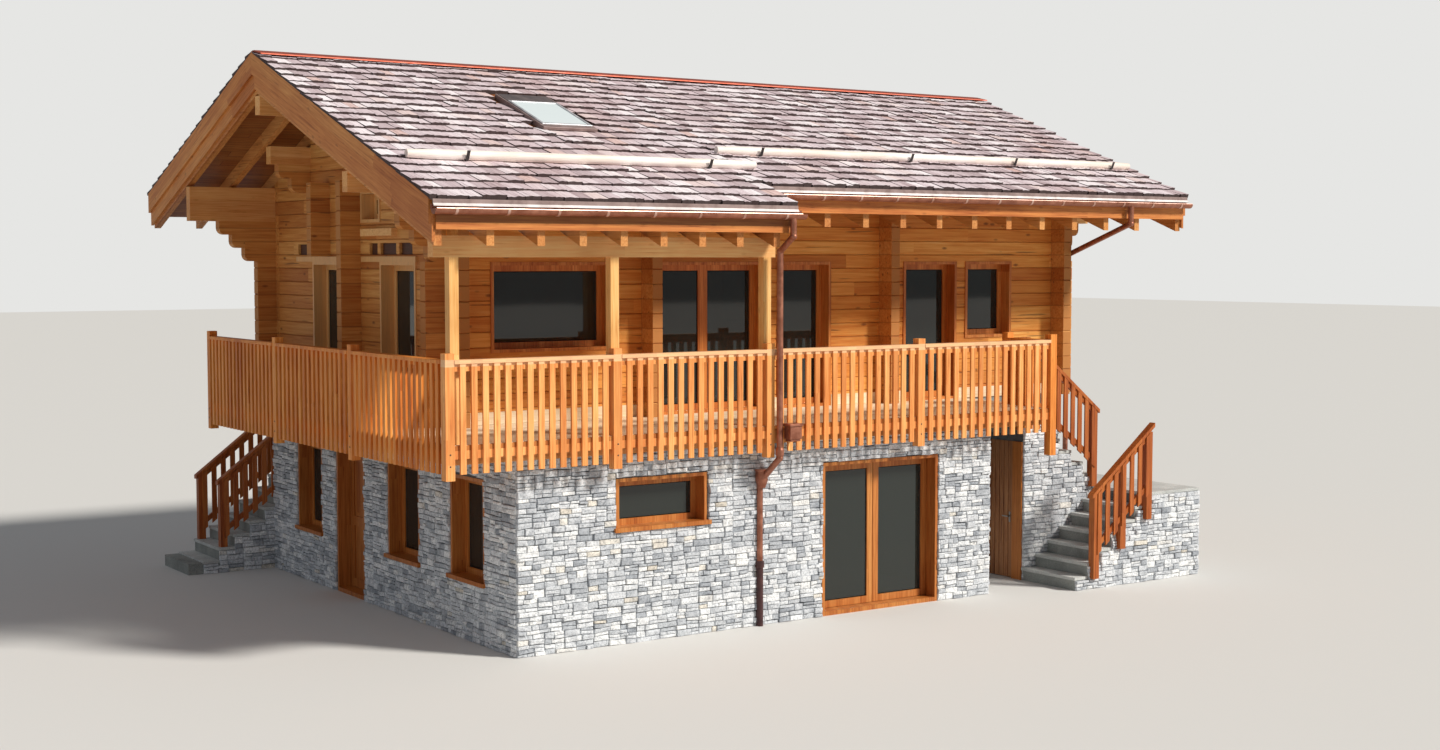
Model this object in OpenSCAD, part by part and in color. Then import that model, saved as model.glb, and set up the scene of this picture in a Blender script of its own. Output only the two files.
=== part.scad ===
// Alpine chalet: a masonry ground storey, a storey of squared logs set back
// from its front, a balcony round two sides and a low gable roof.
//
// House frame used by every module: X runs to the right along the front,
// Y runs back into the house, Z is up. Its zero is the front left corner of
// the masonry at ground level. place() then moves the whole house so that
// the origin is the centre of its outline on the ground.

/* [House] */
// Width of the log storey along the front
house_w = 11000; // [10900:50:14000]
// Depth from the masonry front to the rear wall
house_d = 8100; // [7300:50:10000]
// Length of the masonry front, left of the open porch
front_w = 7750; // [7500:50:8200]
// Set-back of the log storey behind the masonry front
set_back = 1900; // [1700:50:2300]
// Height of the upper floor and the balcony boards
deck_z = 2700; // [2500:10:3100]
// Thickness of the masonry walls
stone_t = 450; // [350:10:550]
// Thickness of the log walls
log_t = 300; // [240:10:340]
// Height of one log course
log_h = 205; // [170:5:240]
// Width of the V joint between two logs
log_joint = 24; // [12:2:36]
// Width of a log end that runs on past a crossing
log_end_w = 160; // [120:10:200]
// Length of a log end beyond the wall
log_end_l = 300; // [200:10:400]
// Thickness of the upper floor
floor_t = 200; // [160:10:240]
// Thickness of the ground floor
ground_t = 60; // [40:5:100]

/* [Roof] */
// Slope of both roof planes in degrees
pitch = 21; // [18:0.5:24]
// Height of the roof surface at the ridge
ridge_z = 7740; // [7600:10:8600]
// Roof build-up measured straight down
roof_t = 360; // [280:10:400]
// Depth of a rafter measured straight down
rafter_d = 200; // [160:10:240]
// Width of a rafter
rafter_w = 100; // [80:5:120]
// Roof overhang past the left gable
verge_l = 1430; // [1000:10:1600]
// Roof overhang past the right gable
verge_r = 1000; // [700:10:1200]
// Front eave over the covered balcony, in front of the masonry face
eave_out = 600; // [400:10:800]
// Front eave of the rest, behind the masonry face
eave_in = 130; // [0:10:300]
// Rear eave beyond the rear wall
eave_rear = 1630; // [1200:10:1700]
// Place where the deeper left part of the eave ends
eave_step_x = 3750; // [3700:10:4000]
// Thickness of a bargeboard
barge_t = 40; // [30:1:60]
// Depth of the outer bargeboard measured straight down
barge_upper = 300; // [220:10:340]
// Depth of the inner bargeboard measured straight down
barge_lower = 500; // [460:10:560]
// Height of the purlins
purlin_h = 260; // [200:10:280]
// Width of the purlins
purlin_w = 180; // [140:10:220]
// Radius of the round gutters
gutter_r = 65; // [50:1:80]
// Wall thickness of gutters and caps
sheet_t = 4; // [3:0.5:6]
// Outside radius of a downpipe
pipe_r = 42; // [35:1:50]
// Diameter of a snow guard log
snow_d = 130; // [100:5:160]
// Clearance between roof parts that seat on one another
seat = 0.05; // [0.03:0.01:0.1]
// Clearance round the roof window and the gutter outlets
loose_fit = 0.5; // [0.3:0.1:0.8]

/* [Balcony] */
// Face of the left balustrade, left of the masonry
deck_left = 1127; // [1050:10:1300]
// Face of the front balustrade, in front of the masonry
deck_front = 366; // [300:5:450]
// Right face of the last front balustrade post
deck_right = 8735; // [8600:5:8800]
// Rear end of the left balustrade
deck_rear = 7925; // [7200:25:8000]
// Thickness of the balcony boards
board_t = 60; // [40:5:80]
// Height of the handrail above the boards
rail_h = 1010; // [900:10:1100]
// Size of the square balustrade posts
post_w = 120; // [100:5:140]
// Post top above the handrail
post_up = 78; // [40:1:100]
// Lower end of the posts, below the boards
post_down = 410; // [300:10:450]
// Lower end of the balusters, below the boards
slat_down = 340; // [250:10:380]
// Width of a baluster board
slat_w = 76; // [60:1:90]
// Gap aimed at between two baluster boards
slat_gap = 76; // [60:1:95]
// Thickness of a baluster board
slat_t = 30; // [20:1:40]
// Size of the veranda posts
veranda_post = 120; // [100:5:160]
// Underside of the veranda beam
veranda_z = 4912; // [4800:10:5000]

/* [Stairs] */
// Tread depth of every flight
tread = 250; // [240:5:290]
// Width of the lower right flight
flight_w = 1120; // [900:10:1200]
// Size of the square stair newels
newel_w = 110; // [90:5:120]
// Step count from the ground to the upper floor
steps = 14; // [14:2:16]

/* [Openings] */
// Head height of the ground floor openings
ground_head = 2113; // [2000:5:2200]
// Head height of the upper openings above the balcony boards
upper_head = 2150; // [2050:5:2250]
// Width of the glazed ground floor door opening
patio_w = 2070; // [1900:10:2300]
// Width of the left side door opening
side_door_w = 1000; // [900:10:1100]
// Thickness of the lining boards round an opening
lining_t = 45; // [35:1:60]
// Width of a window or door frame member
stile_w = 80; // [60:5:100]
// Thickness of a window or door leaf
leaf_t = 68; // [56:2:80]
// Thickness of a pane
pane_t = 24; // [16:2:36]
// Gap round a door leaf
leaf_gap = 6; // [5:0.5:9]
// Gap on the latch side of a leaf, whose corner swings out as it turns
latch_gap = 9; // [8.5:0.5:14]
// Gap between the two leaves of the glazed door
meet_gap = 12; // [11:0.5:16]
// Radius of a hinge barrel
hinge_r = 8; // [6:0.5:10]

/* [Hidden] */
$fn = 32;
stone_col = "darkgray";
larch = "peru";
timber = "sandybrown";
copper = "sienna";

// Levels
slope = tan(pitch);
riser = deck_z/steps;
ridge_y = (set_back + house_d)/2;
under_rafter = roof_t + rafter_d;
function roof_z(y) = ridge_z - slope*abs(y - ridge_y);
function soffit_z(y) = roof_z(y) - roof_t;
function rafter_z(y) = roof_z(y) - under_rafter;
eave_yf = -eave_out;
eave_yr = house_d + eave_rear;
wall_top = deck_z - floor_t;
plate_z = rafter_z(set_back);
half_w = purlin_w/2;
mid_off = (house_d - set_back)/4;
ridge_purlin_z = rafter_z(ridge_y + half_w);
mid_purlin_z = rafter_z(ridge_y + mid_off + half_w);
verge_in = barge_t*2;
roof_x0 = -verge_l;
roof_x1 = house_w + verge_r;
rail_z = deck_z + rail_h;

// The right stair block: the porch lies between front_w and store_x
porch_w = 1200;
store_x = front_w + porch_w;
store_y = 550;
store_wall = 200;
flight_steps = steps/2;
landing_z = riser*flight_steps;
landing_x = store_x + tread*(flight_steps - 1);
landing_l = house_w + 600 - landing_x;
flight_y = store_y - flight_w;
cap_t = 40;

// The rear left stair
rear_stair_x = -1180;
rear_stair_y = house_d + 10;
rear_stair_w = 1150;
rear_land_x = rear_stair_x + tread*(steps - 1);
rear_land_l = 1300;

// Outline centre, which becomes the origin
fascia_t = 30;
gutter_off = gutter_r + 15;
outline_y0 = eave_yf - fascia_t - gutter_off - gutter_r;
outline_y1 = eave_yr + fascia_t + gutter_off + gutter_r;
centre_x = (roof_x0 + roof_x1)/2;
centre_y = (outline_y0 + outline_y1)/2;

module place() {
  translate([-centre_x, -centre_y, 0]) children();
}

// A block between two corners
module block(x0, x1, y0, y1, z0, z1) {
  translate([x0, y0, z0]) cube([x1 - x0, y1 - y0, z1 - z0]);
}

// An outline in Y and Z, carried along X from x0 to x1
module along_x(x0, x1) {
  translate([x0, 0, 0]) rotate([90, 0, 90]) linear_extrude(x1 - x0) children();
}

// An outline in X and Z, carried along Y from y0 to y1
module along_y(y0, y1) {
  translate([0, y1, 0]) rotate([90, 0, 0]) linear_extrude(y1 - y0) children();
}

// A round bar between two points
module bar(a, b, r) {
  d = b - a;
  len = norm(d);
  turn = atan2(d[1], d[0]);
  lean = acos(d[2]/len);
  translate(a) rotate([0, lean, turn]) cylinder(r = r, h = len);
}

// Openings: [x or y start, width, sill, head] measured in the house frame
patio_x = 4688;
patio = [patio_x, patio_w, 0, ground_head];
front_window = [1402, 1384, 1447, 2117];
side_windows = [[846, 967, 757, ground_head], [2754, 1021, 757, ground_head],
  [6132, 962, 757, ground_head]];
side_door_y = 4590;
side_opening = [side_door_y, side_door_w, 0, ground_head];
upper_top = deck_z + upper_head;
front_upper = [
  [635, 1855, 3650, upper_top],
  [3169, 1901, deck_z, upper_top],
  [5300, 996, deck_z, upper_top],
  [7700, 1080, deck_z, upper_top],
  [8960, 980, 3650, upper_top]
];
gable_left_upper = [[2810, 1160, deck_z, upper_top],
  [5250, 1160, deck_z, upper_top]];
gable_right_upper = [[3000, 1100, 3650, upper_top],
  [5900, 1100, 3650, upper_top]];
rear_upper = [[900, 980, 3650, upper_top], [rear_land_x + 150, 1000, deck_z, upper_top],
  [5400, 980, 3650, upper_top], [8300, 980, 3650, upper_top]];
attic_y = 3950;
attic_w = 660;
attic_z = 5400;
attic_h = 450;
// Joist pockets over the gable windows: start along the wall, and width
pockets = [[2920, 420], [3440, 520], [4060, 270], [5240, 250], [6480, 520]];
pocket_z = [4950, 5110];
pocket_d = 60;

// Cuts through a wall that runs along X, between the planes y0 and y1
module cut_x(list, y0, y1) {
  for (o = list)
    block(o[0], o[0] + o[1], y0 - 50, y1 + 50, o[2] - (o[2] == 0 ? 50 : 0), o[3]);
}

// Cuts through a wall that runs along Y, between the planes x0 and x1
module cut_y(list, x0, x1) {
  for (o = list)
    block(x0 - 50, x1 + 50, o[0], o[0] + o[1], o[2] - (o[2] == 0 ? 50 : 0), o[3]);
}

// Masonry storey
module ground_floor() {
  color("gainsboro") place() {
    difference() {
      block(stone_t, front_w, stone_t, house_d - stone_t, 0, ground_t);
      block(front_w - stone_t, front_w + 50, 0, set_back + stone_t, -50, ground_t + 50);
    }
    block(front_w, house_w - stone_t, set_back + stone_t, house_d - stone_t, 0, ground_t);
  }
}

module front_walls() {
  color(stone_col) place() {
    difference() {
      block(0, patio_x, 0, stone_t, 0, wall_top);
      cut_x([front_window], 0, stone_t);
    }
    block(patio_x + patio_w, front_w, 0, stone_t, 0, wall_top);
  }
}

module side_walls() {
  color(stone_col) place() {
    difference() {
      block(0, stone_t, stone_t, side_door_y, 0, wall_top);
      cut_y([side_windows[0], side_windows[1]], 0, stone_t);
    }
    difference() {
      block(0, stone_t, side_door_y + side_door_w, house_d - stone_t, 0, wall_top);
      cut_y([side_windows[2]], 0, stone_t);
    }
  }
}

module rear_wall() {
  color(stone_col) place()
    block(0, house_w, house_d - stone_t, house_d, 0, wall_top);
}

// The right wall of the house and the wall on the left of the porch
module right_walls() {
  color(stone_col) place() {
    block(house_w - stone_t, house_w, set_back + stone_t, house_d - stone_t, 0, wall_top);
    block(front_w - stone_t, front_w, stone_t, set_back + stone_t, 0, wall_top);
  }
}

module porch_back_wall() {
  color(stone_col) place()
    block(front_w, house_w, set_back, set_back + stone_t, 0, wall_top);
}

// Masonry over the doorways of the front, the side and the store
module lintels() {
  color(stone_col) place() {
    block(patio_x, patio_x + patio_w, 0, stone_t, ground_head, wall_top);
    block(0, stone_t, side_door_y, side_door_y + side_door_w, ground_head, wall_top);
    block(store_x, store_x + store_side_t, store_y + store_wall, set_back, ground_head, store_top);
  }
}

module upper_floor() {
  color("tan") place() block(0, house_w, set_back, house_d, wall_top, deck_z);
}

// Floor under the balcony boards, over the front rooms and the porch
module terrace_floor() {
  x = deck_right - post_w;
  color("tan") place() {
    block(0, x, 0, set_back, wall_top, deck_z - board_t);
    block(x, store_x, store_y, set_back, wall_top, deck_z - board_t);
  }
}

// Log storey
// Section of a log wall: the outer face is at 0 with a V at every course, and
// the top is cut from top0 outside to top1 inside
module log_section(thick, z0, n, top0, top1) {
  half = log_joint/2;
  polygon(concat(
    [[0, z0]],
    [for (i = [1:n - 1]) each [[0, z0 + i*log_h - half], [half, z0 + i*log_h],
      [0, z0 + i*log_h + half]]],
    [[0, top0], [thick, top1], [thick, z0]]
  ));
}

function course_count(top) = floor((top - deck_z - log_joint)/log_h) + 1;

module log_wall_front() {
  n = course_count(plate_z);
  color(timber) place() difference() {
    along_x(0, house_w) translate([set_back, 0])
      log_section(log_t, deck_z, n, plate_z, rafter_z(set_back + log_t));
    cut_x(front_upper, set_back, set_back + log_t);
  }
}

module log_wall_rear() {
  n = course_count(plate_z);
  color(timber) place() difference() {
    along_x(0, house_w) translate([house_d, 0]) mirror([1, 0])
      log_section(log_t, deck_z, n, plate_z, rafter_z(set_back + log_t));
    cut_x(rear_upper, house_d - log_t, house_d);
  }
}

// Outline of a gable between the eaves walls, under the rafters
module gable_outline() {
  y0 = set_back + log_t;
  y1 = house_d - log_t;
  polygon([[y0, deck_z], [y1, deck_z], [y1, rafter_z(y1)],
    [ridge_y, rafter_z(ridge_y)], [y0, rafter_z(y0)]]);
}

// Holes for the purlins that run through a gable
module purlin_cut(x0, x1) {
  block(x0, x1, ridge_y - half_w, ridge_y + half_w, ridge_purlin_z - purlin_h, ridge_z);
  for (s = [-1, 1])
    block(x0, x1, ridge_y + s*mid_off - half_w, ridge_y + s*mid_off + half_w,
      mid_purlin_z - purlin_h, ridge_z);
}

module gable(openings, turned) {
  n = course_count(ridge_z - under_rafter);
  at = turned ? house_w : 0;
  difference() {
    intersection() {
      along_y(set_back + log_t, house_d - log_t) translate([at, 0])
        mirror([turned ? 1 : 0, 0]) log_section(log_t, deck_z, n, ridge_z, ridge_z);
      along_x(-50, house_w + 50) gable_outline();
    }
    cut_y(openings, turned ? house_w - log_t : 0, turned ? house_w : log_t);
    purlin_cut(turned ? house_w - log_t - 50 : -50, turned ? house_w + 50 : log_t + 50);
  }
}

module log_wall_left() {
  color(timber) place() difference() {
    gable(concat(gable_left_upper, [[attic_y, attic_w, attic_z, attic_z + attic_h]]), false);
    for (p = pockets) block(-50, pocket_d, p[0], p[0] + p[1], pocket_z[0], pocket_z[1]);
  }
}

module log_wall_right() {
  color(timber) place() gable(concat(gable_right_upper,
    [[attic_y, attic_w, attic_z, attic_z + attic_h]]), true);
}

// A stack of log ends, from z0 up to top, notched at each course
module log_stack(x, y, dx, dy, len, z0, top) {
  n = floor((top - z0 - log_joint)/log_h) + 1;
  side = concat([[0, z0], [len, z0]], [for (i = [1:n - 1]) each outline_step(i, len, z0)],
    [[len, top], [0, top]]);
  translate([x, y, 0])
    rotate([0, 0, atan2(dy, dx)])
      translate([0, log_end_w/2, 0])
        rotate([90, 0, 0]) linear_extrude(log_end_w) polygon(side);
}

function outline_step(i, len, z0) = [[len, z0 + i*log_h - log_joint/2],
  [len - log_joint/2, z0 + i*log_h], [len, z0 + i*log_h + log_joint/2]];

cross_front_x = [3055, 7300];
// Cross walls behind the gables: place, and height at which the ends start
cross_gable = [[4730, deck_z], [5820, upper_top + 80]];
end_half = log_end_w/2;
front_end_top = rafter_z(set_back - log_end_l);

module log_ends() {
  color("burlywood") place() {
    for (x = concat([end_half + 20], cross_front_x, [house_w - end_half - 20]))
      log_stack(x, set_back, 0, -1, log_end_l, deck_z, front_end_top);
    for (x = [end_half + 20, cross_front_x[1], house_w - end_half - 20])
      log_stack(x, house_d, 0, 1, log_end_l, deck_z, front_end_top);
    for (s = [0, 1], y = concat([set_back + end_half], [house_d - end_half]))
      log_stack(s*house_w, y, s == 0 ? -1 : 1, 0, log_end_l, deck_z, corbel_z0);
    for (s = [0, 1], c = cross_gable)
      log_stack(s*house_w, c[0], s == 0 ? -1 : 1, 0, log_end_l, c[1], 6000);
  }
}

// Logs that step out one above the other to carry a purlin, each with a
// rounded nose; the topmost reaches out by far, the next ones by step less
corbel_z0 = plate_z - purlin_h*2 - log_h*3;
corbel_nose = 100;
corbel_step = 200;
module corbel(y, z_top, n, side, far) {
  w = log_end_w;
  reach = side < 0 ? 1 : (verge_r - 260)/(verge_l - 330);
  for (i = [0:n - 1]) {
    len = max(log_end_l/2, far - corbel_step*i)*reach;
    z1 = z_top - i*log_h;
    z0 = z1 - log_h;
    arc = [for (a = [0:22.5:90]) [len - corbel_nose*(1 - sin(a)), z0 + corbel_nose*(1 - cos(a))]];
    translate([side < 0 ? 0 : house_w, y + w/2, 0]) mirror([side < 0 ? 1 : 0, 0, 0])
      rotate([90, 0, 0]) linear_extrude(w)
        polygon(concat([[0, z0]], arc, [[len, z1], [0, z1]]));
  }
}

module corbels() {
  color("burlywood") place()
    for (side = [-1, 1]) {
      corbel(set_back + end_half, plate_z - purlin_h*2, 3, side, 650);
      corbel(house_d - end_half, plate_z - purlin_h*2, 3, side, 900);
      corbel(ridge_y, ridge_purlin_z - purlin_h, 2, side, 700);
      for (s = [-1, 1]) corbel(ridge_y + s*mid_off, mid_purlin_z - purlin_h, 2, side, 500);
    }
}

// Roof frame
purlin_x0 = roof_x0 + verge_in;
purlin_x1 = roof_x1 - verge_in;
// The middle purlins end on the left under the middle rafter of the overhang
mid_purlin_x0 = (purlin_x0 + rafter_w)/2 + 5;
plate_short = 650;
module purlins() {
  color(larch) place() {
    for (p = [[ridge_y, ridge_purlin_z, purlin_x0], [ridge_y - mid_off, mid_purlin_z, mid_purlin_x0],
        [ridge_y + mid_off, mid_purlin_z, mid_purlin_x0]])
      block(p[2], purlin_x1, p[0] - half_w, p[0] + half_w, p[1] - purlin_h, p[1]);
    for (x = [[purlin_x0, 0], [house_w, purlin_x1]]) {
      block(x[0], x[1], house_d - log_end_w, house_d, plate_z - purlin_h*2, plate_z);
      block(x[0], x[1], set_back, set_back + log_end_w, plate_z - purlin_h, plate_z);
      block(max(x[0], -plate_short), min(x[1], house_w + plate_short), set_back,
        set_back + log_end_w, plate_z - purlin_h*2, plate_z - purlin_h);
    }
    block(-90, 0, attic_y - 550, attic_y + 500, attic_z - 190, attic_z - 90);
  }
}

// Rafter places: over the balcony, over the gable walls and along the front
rafter_left = [for (i = [0:2]) i*(verge_l - verge_in)/2 - (verge_l - verge_in)];
veranda_pitch = (eave_step_x - 290)/6;
rafter_mid = [for (i = [1:6]) i*veranda_pitch];
right_pitch = (house_w - rafter_w - 4850)/9;
rafter_front = [for (i = [0:9]) 4850 + i*right_pitch];
all_rafters = concat(rafter_left, rafter_mid, rafter_front, [roof_x1 - verge_in - rafter_w]);
module rafter(x, y) {
  along_x(x, x + rafter_w)
    polygon([[y, soffit_z(y) - seat], [ridge_y, soffit_z(ridge_y) - seat],
      [ridge_y, rafter_z(ridge_y)], [y, rafter_z(y)]]);
}

module rafters_front() {
  color(larch) place() for (x = all_rafters)
    rafter(x, (x < eave_step_x ? eave_yf : eave_in) + barge_t);
}

module rafters_rear() {
  color(larch) place() for (x = all_rafters) rafter(x, eave_yr - barge_t);
}

// Roof skin
module roof_half(x0, x1, y_eave) {
  along_x(x0, x1)
    polygon([[ridge_y, roof_z(ridge_y)], [ridge_y, soffit_z(ridge_y)],
      [y_eave, soffit_z(y_eave)], [y_eave, roof_z(y_eave)]]);
}

sky_x = 1530;
sky_w = 780;
sky_from = 1700;
sky_l = 1400;
sky_up = 90;
// Children drawn on the front slope: X along it, -Y down it, Z off its face
module on_front() {
  translate([0, ridge_y, ridge_z]) rotate([pitch, 0, 0]) children();
}

module roof_front() {
  color("rosybrown") place() difference() {
    union() {
      roof_half(roof_x0 + verge_in, eave_step_x, eave_yf);
      roof_half(eave_step_x, roof_x1 - verge_in, eave_in);
    }
    on_front() block(sky_x - loose_fit, sky_x + sky_w + loose_fit, -sky_from - sky_l - loose_fit,
      -sky_from + loose_fit, -2*roof_t, 50);
  }
}

module roof_rear() {
  color("rosybrown") place() roof_half(roof_x0 + verge_in, roof_x1 - verge_in, eave_yr);
}

module skylight() {
  b = 60;
  color("dimgray") place() on_front() {
    difference() {
      block(sky_x, sky_x + sky_w, -sky_from - sky_l, -sky_from, -roof_t*cos(pitch), sky_up);
      block(sky_x + b, sky_x + sky_w - b, -sky_from - sky_l + b, -sky_from - b, -2*roof_t, 300);
    }
    block(sky_x + b, sky_x + sky_w - b, -sky_from - sky_l + b, -sky_from - b,
      sky_up - 40, sky_up - 16);
  }
}

cap_w = 170;
cap_up = 35;
module ridge_cap() {
  z = cap_w*slope - seat;
  color("firebrick") place() along_x(roof_x0 + verge_in, roof_x1 - verge_in)
    polygon([[ridge_y - cap_w, ridge_z - z], [ridge_y, ridge_z + seat], [ridge_y + cap_w, ridge_z - z],
      [ridge_y + cap_w, ridge_z - z + 12], [ridge_y + 60, ridge_z + cap_up - 24],
      [ridge_y, ridge_z + cap_up], [ridge_y - 60, ridge_z + cap_up - 24],
      [ridge_y - cap_w, ridge_z - z + 12]]);
}

// A sloping board from y0 up to y1, hanging depth below the roof surface
module verge_board(x0, x1, y0, y1, depth) {
  along_x(x0, x1) polygon([[y0, roof_z(y0)], [y1, roof_z(y1)],
    [y1, roof_z(y1) - depth], [y0, roof_z(y0) - depth]]);
}

// The two layers of board on a verge: the outer one hangs less deep
module verge_pair(y_left, y_right) {
  for (v = [[roof_x0, 1, y_left], [roof_x1, -1, y_right]]) {
    a = v[0];
    b = v[0] + v[1]*barge_t;
    c = v[0] + v[1]*2*barge_t;
    verge_board(min(a, b), max(a, b), v[2], ridge_y, barge_upper);
    verge_board(min(b, c), max(b, c), v[2], ridge_y, barge_lower);
  }
}

module bargeboards_front() {
  x = eave_step_x;
  color(timber) place() {
    verge_pair(eave_yf, eave_in);
    verge_board(x, x + barge_t, eave_yf, eave_in - fascia_t, barge_upper + 60);
  }
}

module bargeboards_rear() {
  color(timber) place() verge_pair(eave_yr, eave_yr);
}

module fascias() {
  color(larch) place() {
    for (f = [[roof_x0 + verge_in, eave_step_x, eave_yf],
        [eave_step_x + barge_t, roof_x1 - verge_in, eave_in]])
      block(f[0], f[1], f[2] - fascia_t, f[2], soffit_z(f[2]), roof_z(f[2]) - 60);
    block(roof_x0 + verge_in, roof_x1 - verge_in, eave_yr, eave_yr + fascia_t,
      soffit_z(eave_yr), roof_z(eave_yr) - 60);
  }
}

// A half-round gutter along X with closed ends and a drip strip above it
module gutter(x0, x1, y, z, back) {
  along_x(x0, x1) translate([y, z]) difference() {
    circle(gutter_r);
    circle(gutter_r - sheet_t);
    translate([-200, 0]) square([400, 200]);
  }
  for (x = [x0, x1 - sheet_t])
    along_x(x, x + sheet_t) translate([y, z]) difference() {
      circle(gutter_r - sheet_t);
      translate([-200, 0]) square([400, 200]);
    }
  yb = y + back*gutter_r;
  block(x0, x1, min(yb, yb + back*15), max(yb, yb + back*15), z - 10, z + 50);
}

gutter_drop = 125;
gutter_lf = eave_yf - fascia_t - gutter_r - 15;
gutter_rf = eave_in - fascia_t - gutter_r - 15;
gutter_re = eave_yr + fascia_t + gutter_r + 15;
pipe_left_x = 3665;
pipe_right_x = house_w - 340;
module gutters() {
  color(copper) place() difference() {
    union() all_gutters();
    for (p = [[pipe_left_x, gutter_lf, eave_yf], [pipe_right_x, gutter_rf, eave_in]])
      translate([p[0], p[1], roof_z(p[2]) - gutter_drop - 2*gutter_r])
        cylinder(r = pipe_r + loose_fit, h = 2*gutter_r);
  }
}

module all_gutters() {
  gutter(roof_x0 + 10, eave_step_x + 100, gutter_lf, roof_z(eave_yf) - gutter_drop, 1);
  gutter(eave_step_x + fascia_t + 20, roof_x1 + 60 - verge_in, gutter_rf,
    roof_z(eave_in) - gutter_drop, 1);
  gutter(roof_x0 + verge_in, roof_x1 - verge_in, gutter_re, roof_z(eave_yr) - gutter_drop, -1);
}

// Downpipes as runs of round pipe with a socket bulb at each bend
module pipe_run(pts) {
  for (i = [0:len(pts) - 2]) bar(pts[i], pts[i + 1], pipe_r);
  for (i = [1:len(pts) - 2]) translate(pts[i]) sphere(pipe_r + 5, $fn = 24);
}

module downpipes() {
  px = pipe_left_x;
  zl = roof_z(eave_yf) - gutter_drop - gutter_r + 10;
  zr = roof_z(eave_in) - gutter_drop - gutter_r + 10;
  rail_y = -deck_front - pipe_r - 12;
  wall_y = -pipe_r - 12;
  corner_x = house_w + pipe_r + 30;
  color(copper) place() {
    pipe_run([[px, gutter_lf, zl], [px, gutter_lf, zl - 230], [px, rail_y, zl - 420],
      [px, rail_y, 2280], [px - 60, wall_y, 1930], [px - 60, wall_y, 0]]);
    pipe_run([[pipe_right_x, gutter_rf, zr], [pipe_right_x, gutter_rf, zr - 260],
      [corner_x, set_back - 120, 4950], [corner_x, set_back - 120, landing_z]]);
  }
}

// Snow guard logs on steel brackets
guards = [[-1130, 4003, 4640, [-348, 3234]], [3775, 11860, 4010, [4490, 7216, 9300, 11414]]];
module snow_guards() {
  color("tan") place() on_front() for (g = guards) {
    translate([g[0], -g[2], snow_d/2 + 25]) rotate([0, 90, 0]) cylinder(d = snow_d, h = g[1] - g[0]);
    for (x = g[3]) {
      block(x - 20, x + 20, -g[2] - 160, -g[2] + 200, 0, 8);
      block(x - 20, x + 20, -g[2] - snow_d/2 - 14, -g[2] - snow_d/2 + 4, 0, snow_d + 40);
      block(x - 20, x + 20, -g[2] - 40, -g[2] + 40, 0, 40);
    }
  }
}

// Balcony
veranda_y = -deck_front + post_w;
veranda_x = [-1004, 1194, 3526];
veranda_end = 3714;
module veranda_posts() {
  color(timber) place() for (x = veranda_x)
    block(x, x + veranda_post, veranda_y, veranda_y + veranda_post, deck_z, veranda_z);
}

module veranda_beams() {
  top = rafter_z(veranda_y);
  color(timber) place() {
    block(veranda_x[0] - 206, veranda_end, veranda_y, veranda_y + 140, veranda_z, top);
  }
}

deck_x0 = -deck_left + slat_t;
deck_y0 = -deck_front + slat_t;
deck_x1 = deck_right - slat_t;
front_posts = [0, 1223 + deck_left - post_w/2, 3560 + deck_left - post_w/2,
  6086 + deck_left, deck_right + deck_left - post_w];
left_len = deck_rear + deck_front;
left_posts = [0, deck_rear - 5178, deck_rear - 2510, left_len - post_w];
// Room for the balustrade posts, which stand through the edge of the boards
module post_room(z0, z1) {
  for (x = front_posts)
    block(x - deck_left, x - deck_left + post_w, -deck_front, veranda_y, z0, z1);
  for (y = left_posts)
    block(-deck_left, -deck_left + post_w, deck_rear - y - post_w, deck_rear - y, z0, z1);
}

module deck() {
  z = deck_z - board_t;
  color("wheat") place() difference() {
    union() {
      block(deck_x0, 0, set_back, deck_rear, z, deck_z);
      block(deck_x0, deck_x1, deck_y0, set_back, z, deck_z);
      block(deck_x1, store_x, store_y, set_back, z, deck_z);
    }
    post_room(z - 20, deck_z + 20);
  }
}

beam_h = 180;
beam_w = 90;
beam_gap = 1250;
beam_x = -deck_left + post_w;
// Edge beams behind the balustrade posts and joists back to the walls, with a
// small gap between their ends
module deck_beams() {
  z1 = deck_z - board_t;
  z0 = z1 - beam_h;
  d = 4;
  n = ceil(deck_rear/beam_gap);
  run = deck_rear - veranda_y - beam_w - d;
  color(larch) place() {
    block(beam_x, beam_x + beam_w, veranda_y + beam_w + d, deck_rear, z0, z1);
    block(beam_x, deck_right - post_w, veranda_y, veranda_y + beam_w, z0, z1);
    for (i = [0:n]) {
      y = veranda_y + beam_w + d + 60 + (run - 60 - beam_w)*i/n;
      block(beam_x + beam_w + d, 0, y, y + beam_w, z0, z1);
    }
    m = ceil(deck_right/beam_gap);
    for (i = [0:m]) {
      x = 60 + (deck_right - post_w - 60 - beam_w)*i/m;
      block(x, x + beam_w, veranda_y + beam_w + d, 0, z0, z1);
    }
  }
}

// A flat balustrade along X that looks towards -Y: posts at the given places,
// a cap rail, two inner rails and baluster boards on the outside
module balustrade(posts, z_post, first) {
  rail_t = 45;
  gap = slat_w + slat_gap;
  low = deck_z - board_t;
  for (i = [first:len(posts) - 1])
    block(posts[i], posts[i] + post_w, 0, post_w, z_post[i], rail_z + post_up);
  for (i = [0:len(posts) - 2]) {
    a = posts[i] + post_w;
    b = posts[i + 1];
    n = max(1, round((b - a - slat_gap)/gap));
    p = (b - a - n*slat_w)/(n + 1);
    block(a, b, -8, post_w, rail_z - rail_t, rail_z);
    block(a, b, slat_t, slat_t + rail_t, rail_z - rail_t - 90, rail_z - rail_t);
    block(a, b, slat_t, slat_t + rail_t, low - 100, low);
    for (k = [0:n - 1])
      block(a + p + k*(slat_w + p), a + p + k*(slat_w + p) + slat_w, 0, slat_t,
        slat_z, rail_z - rail_t);
  }
}

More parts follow.
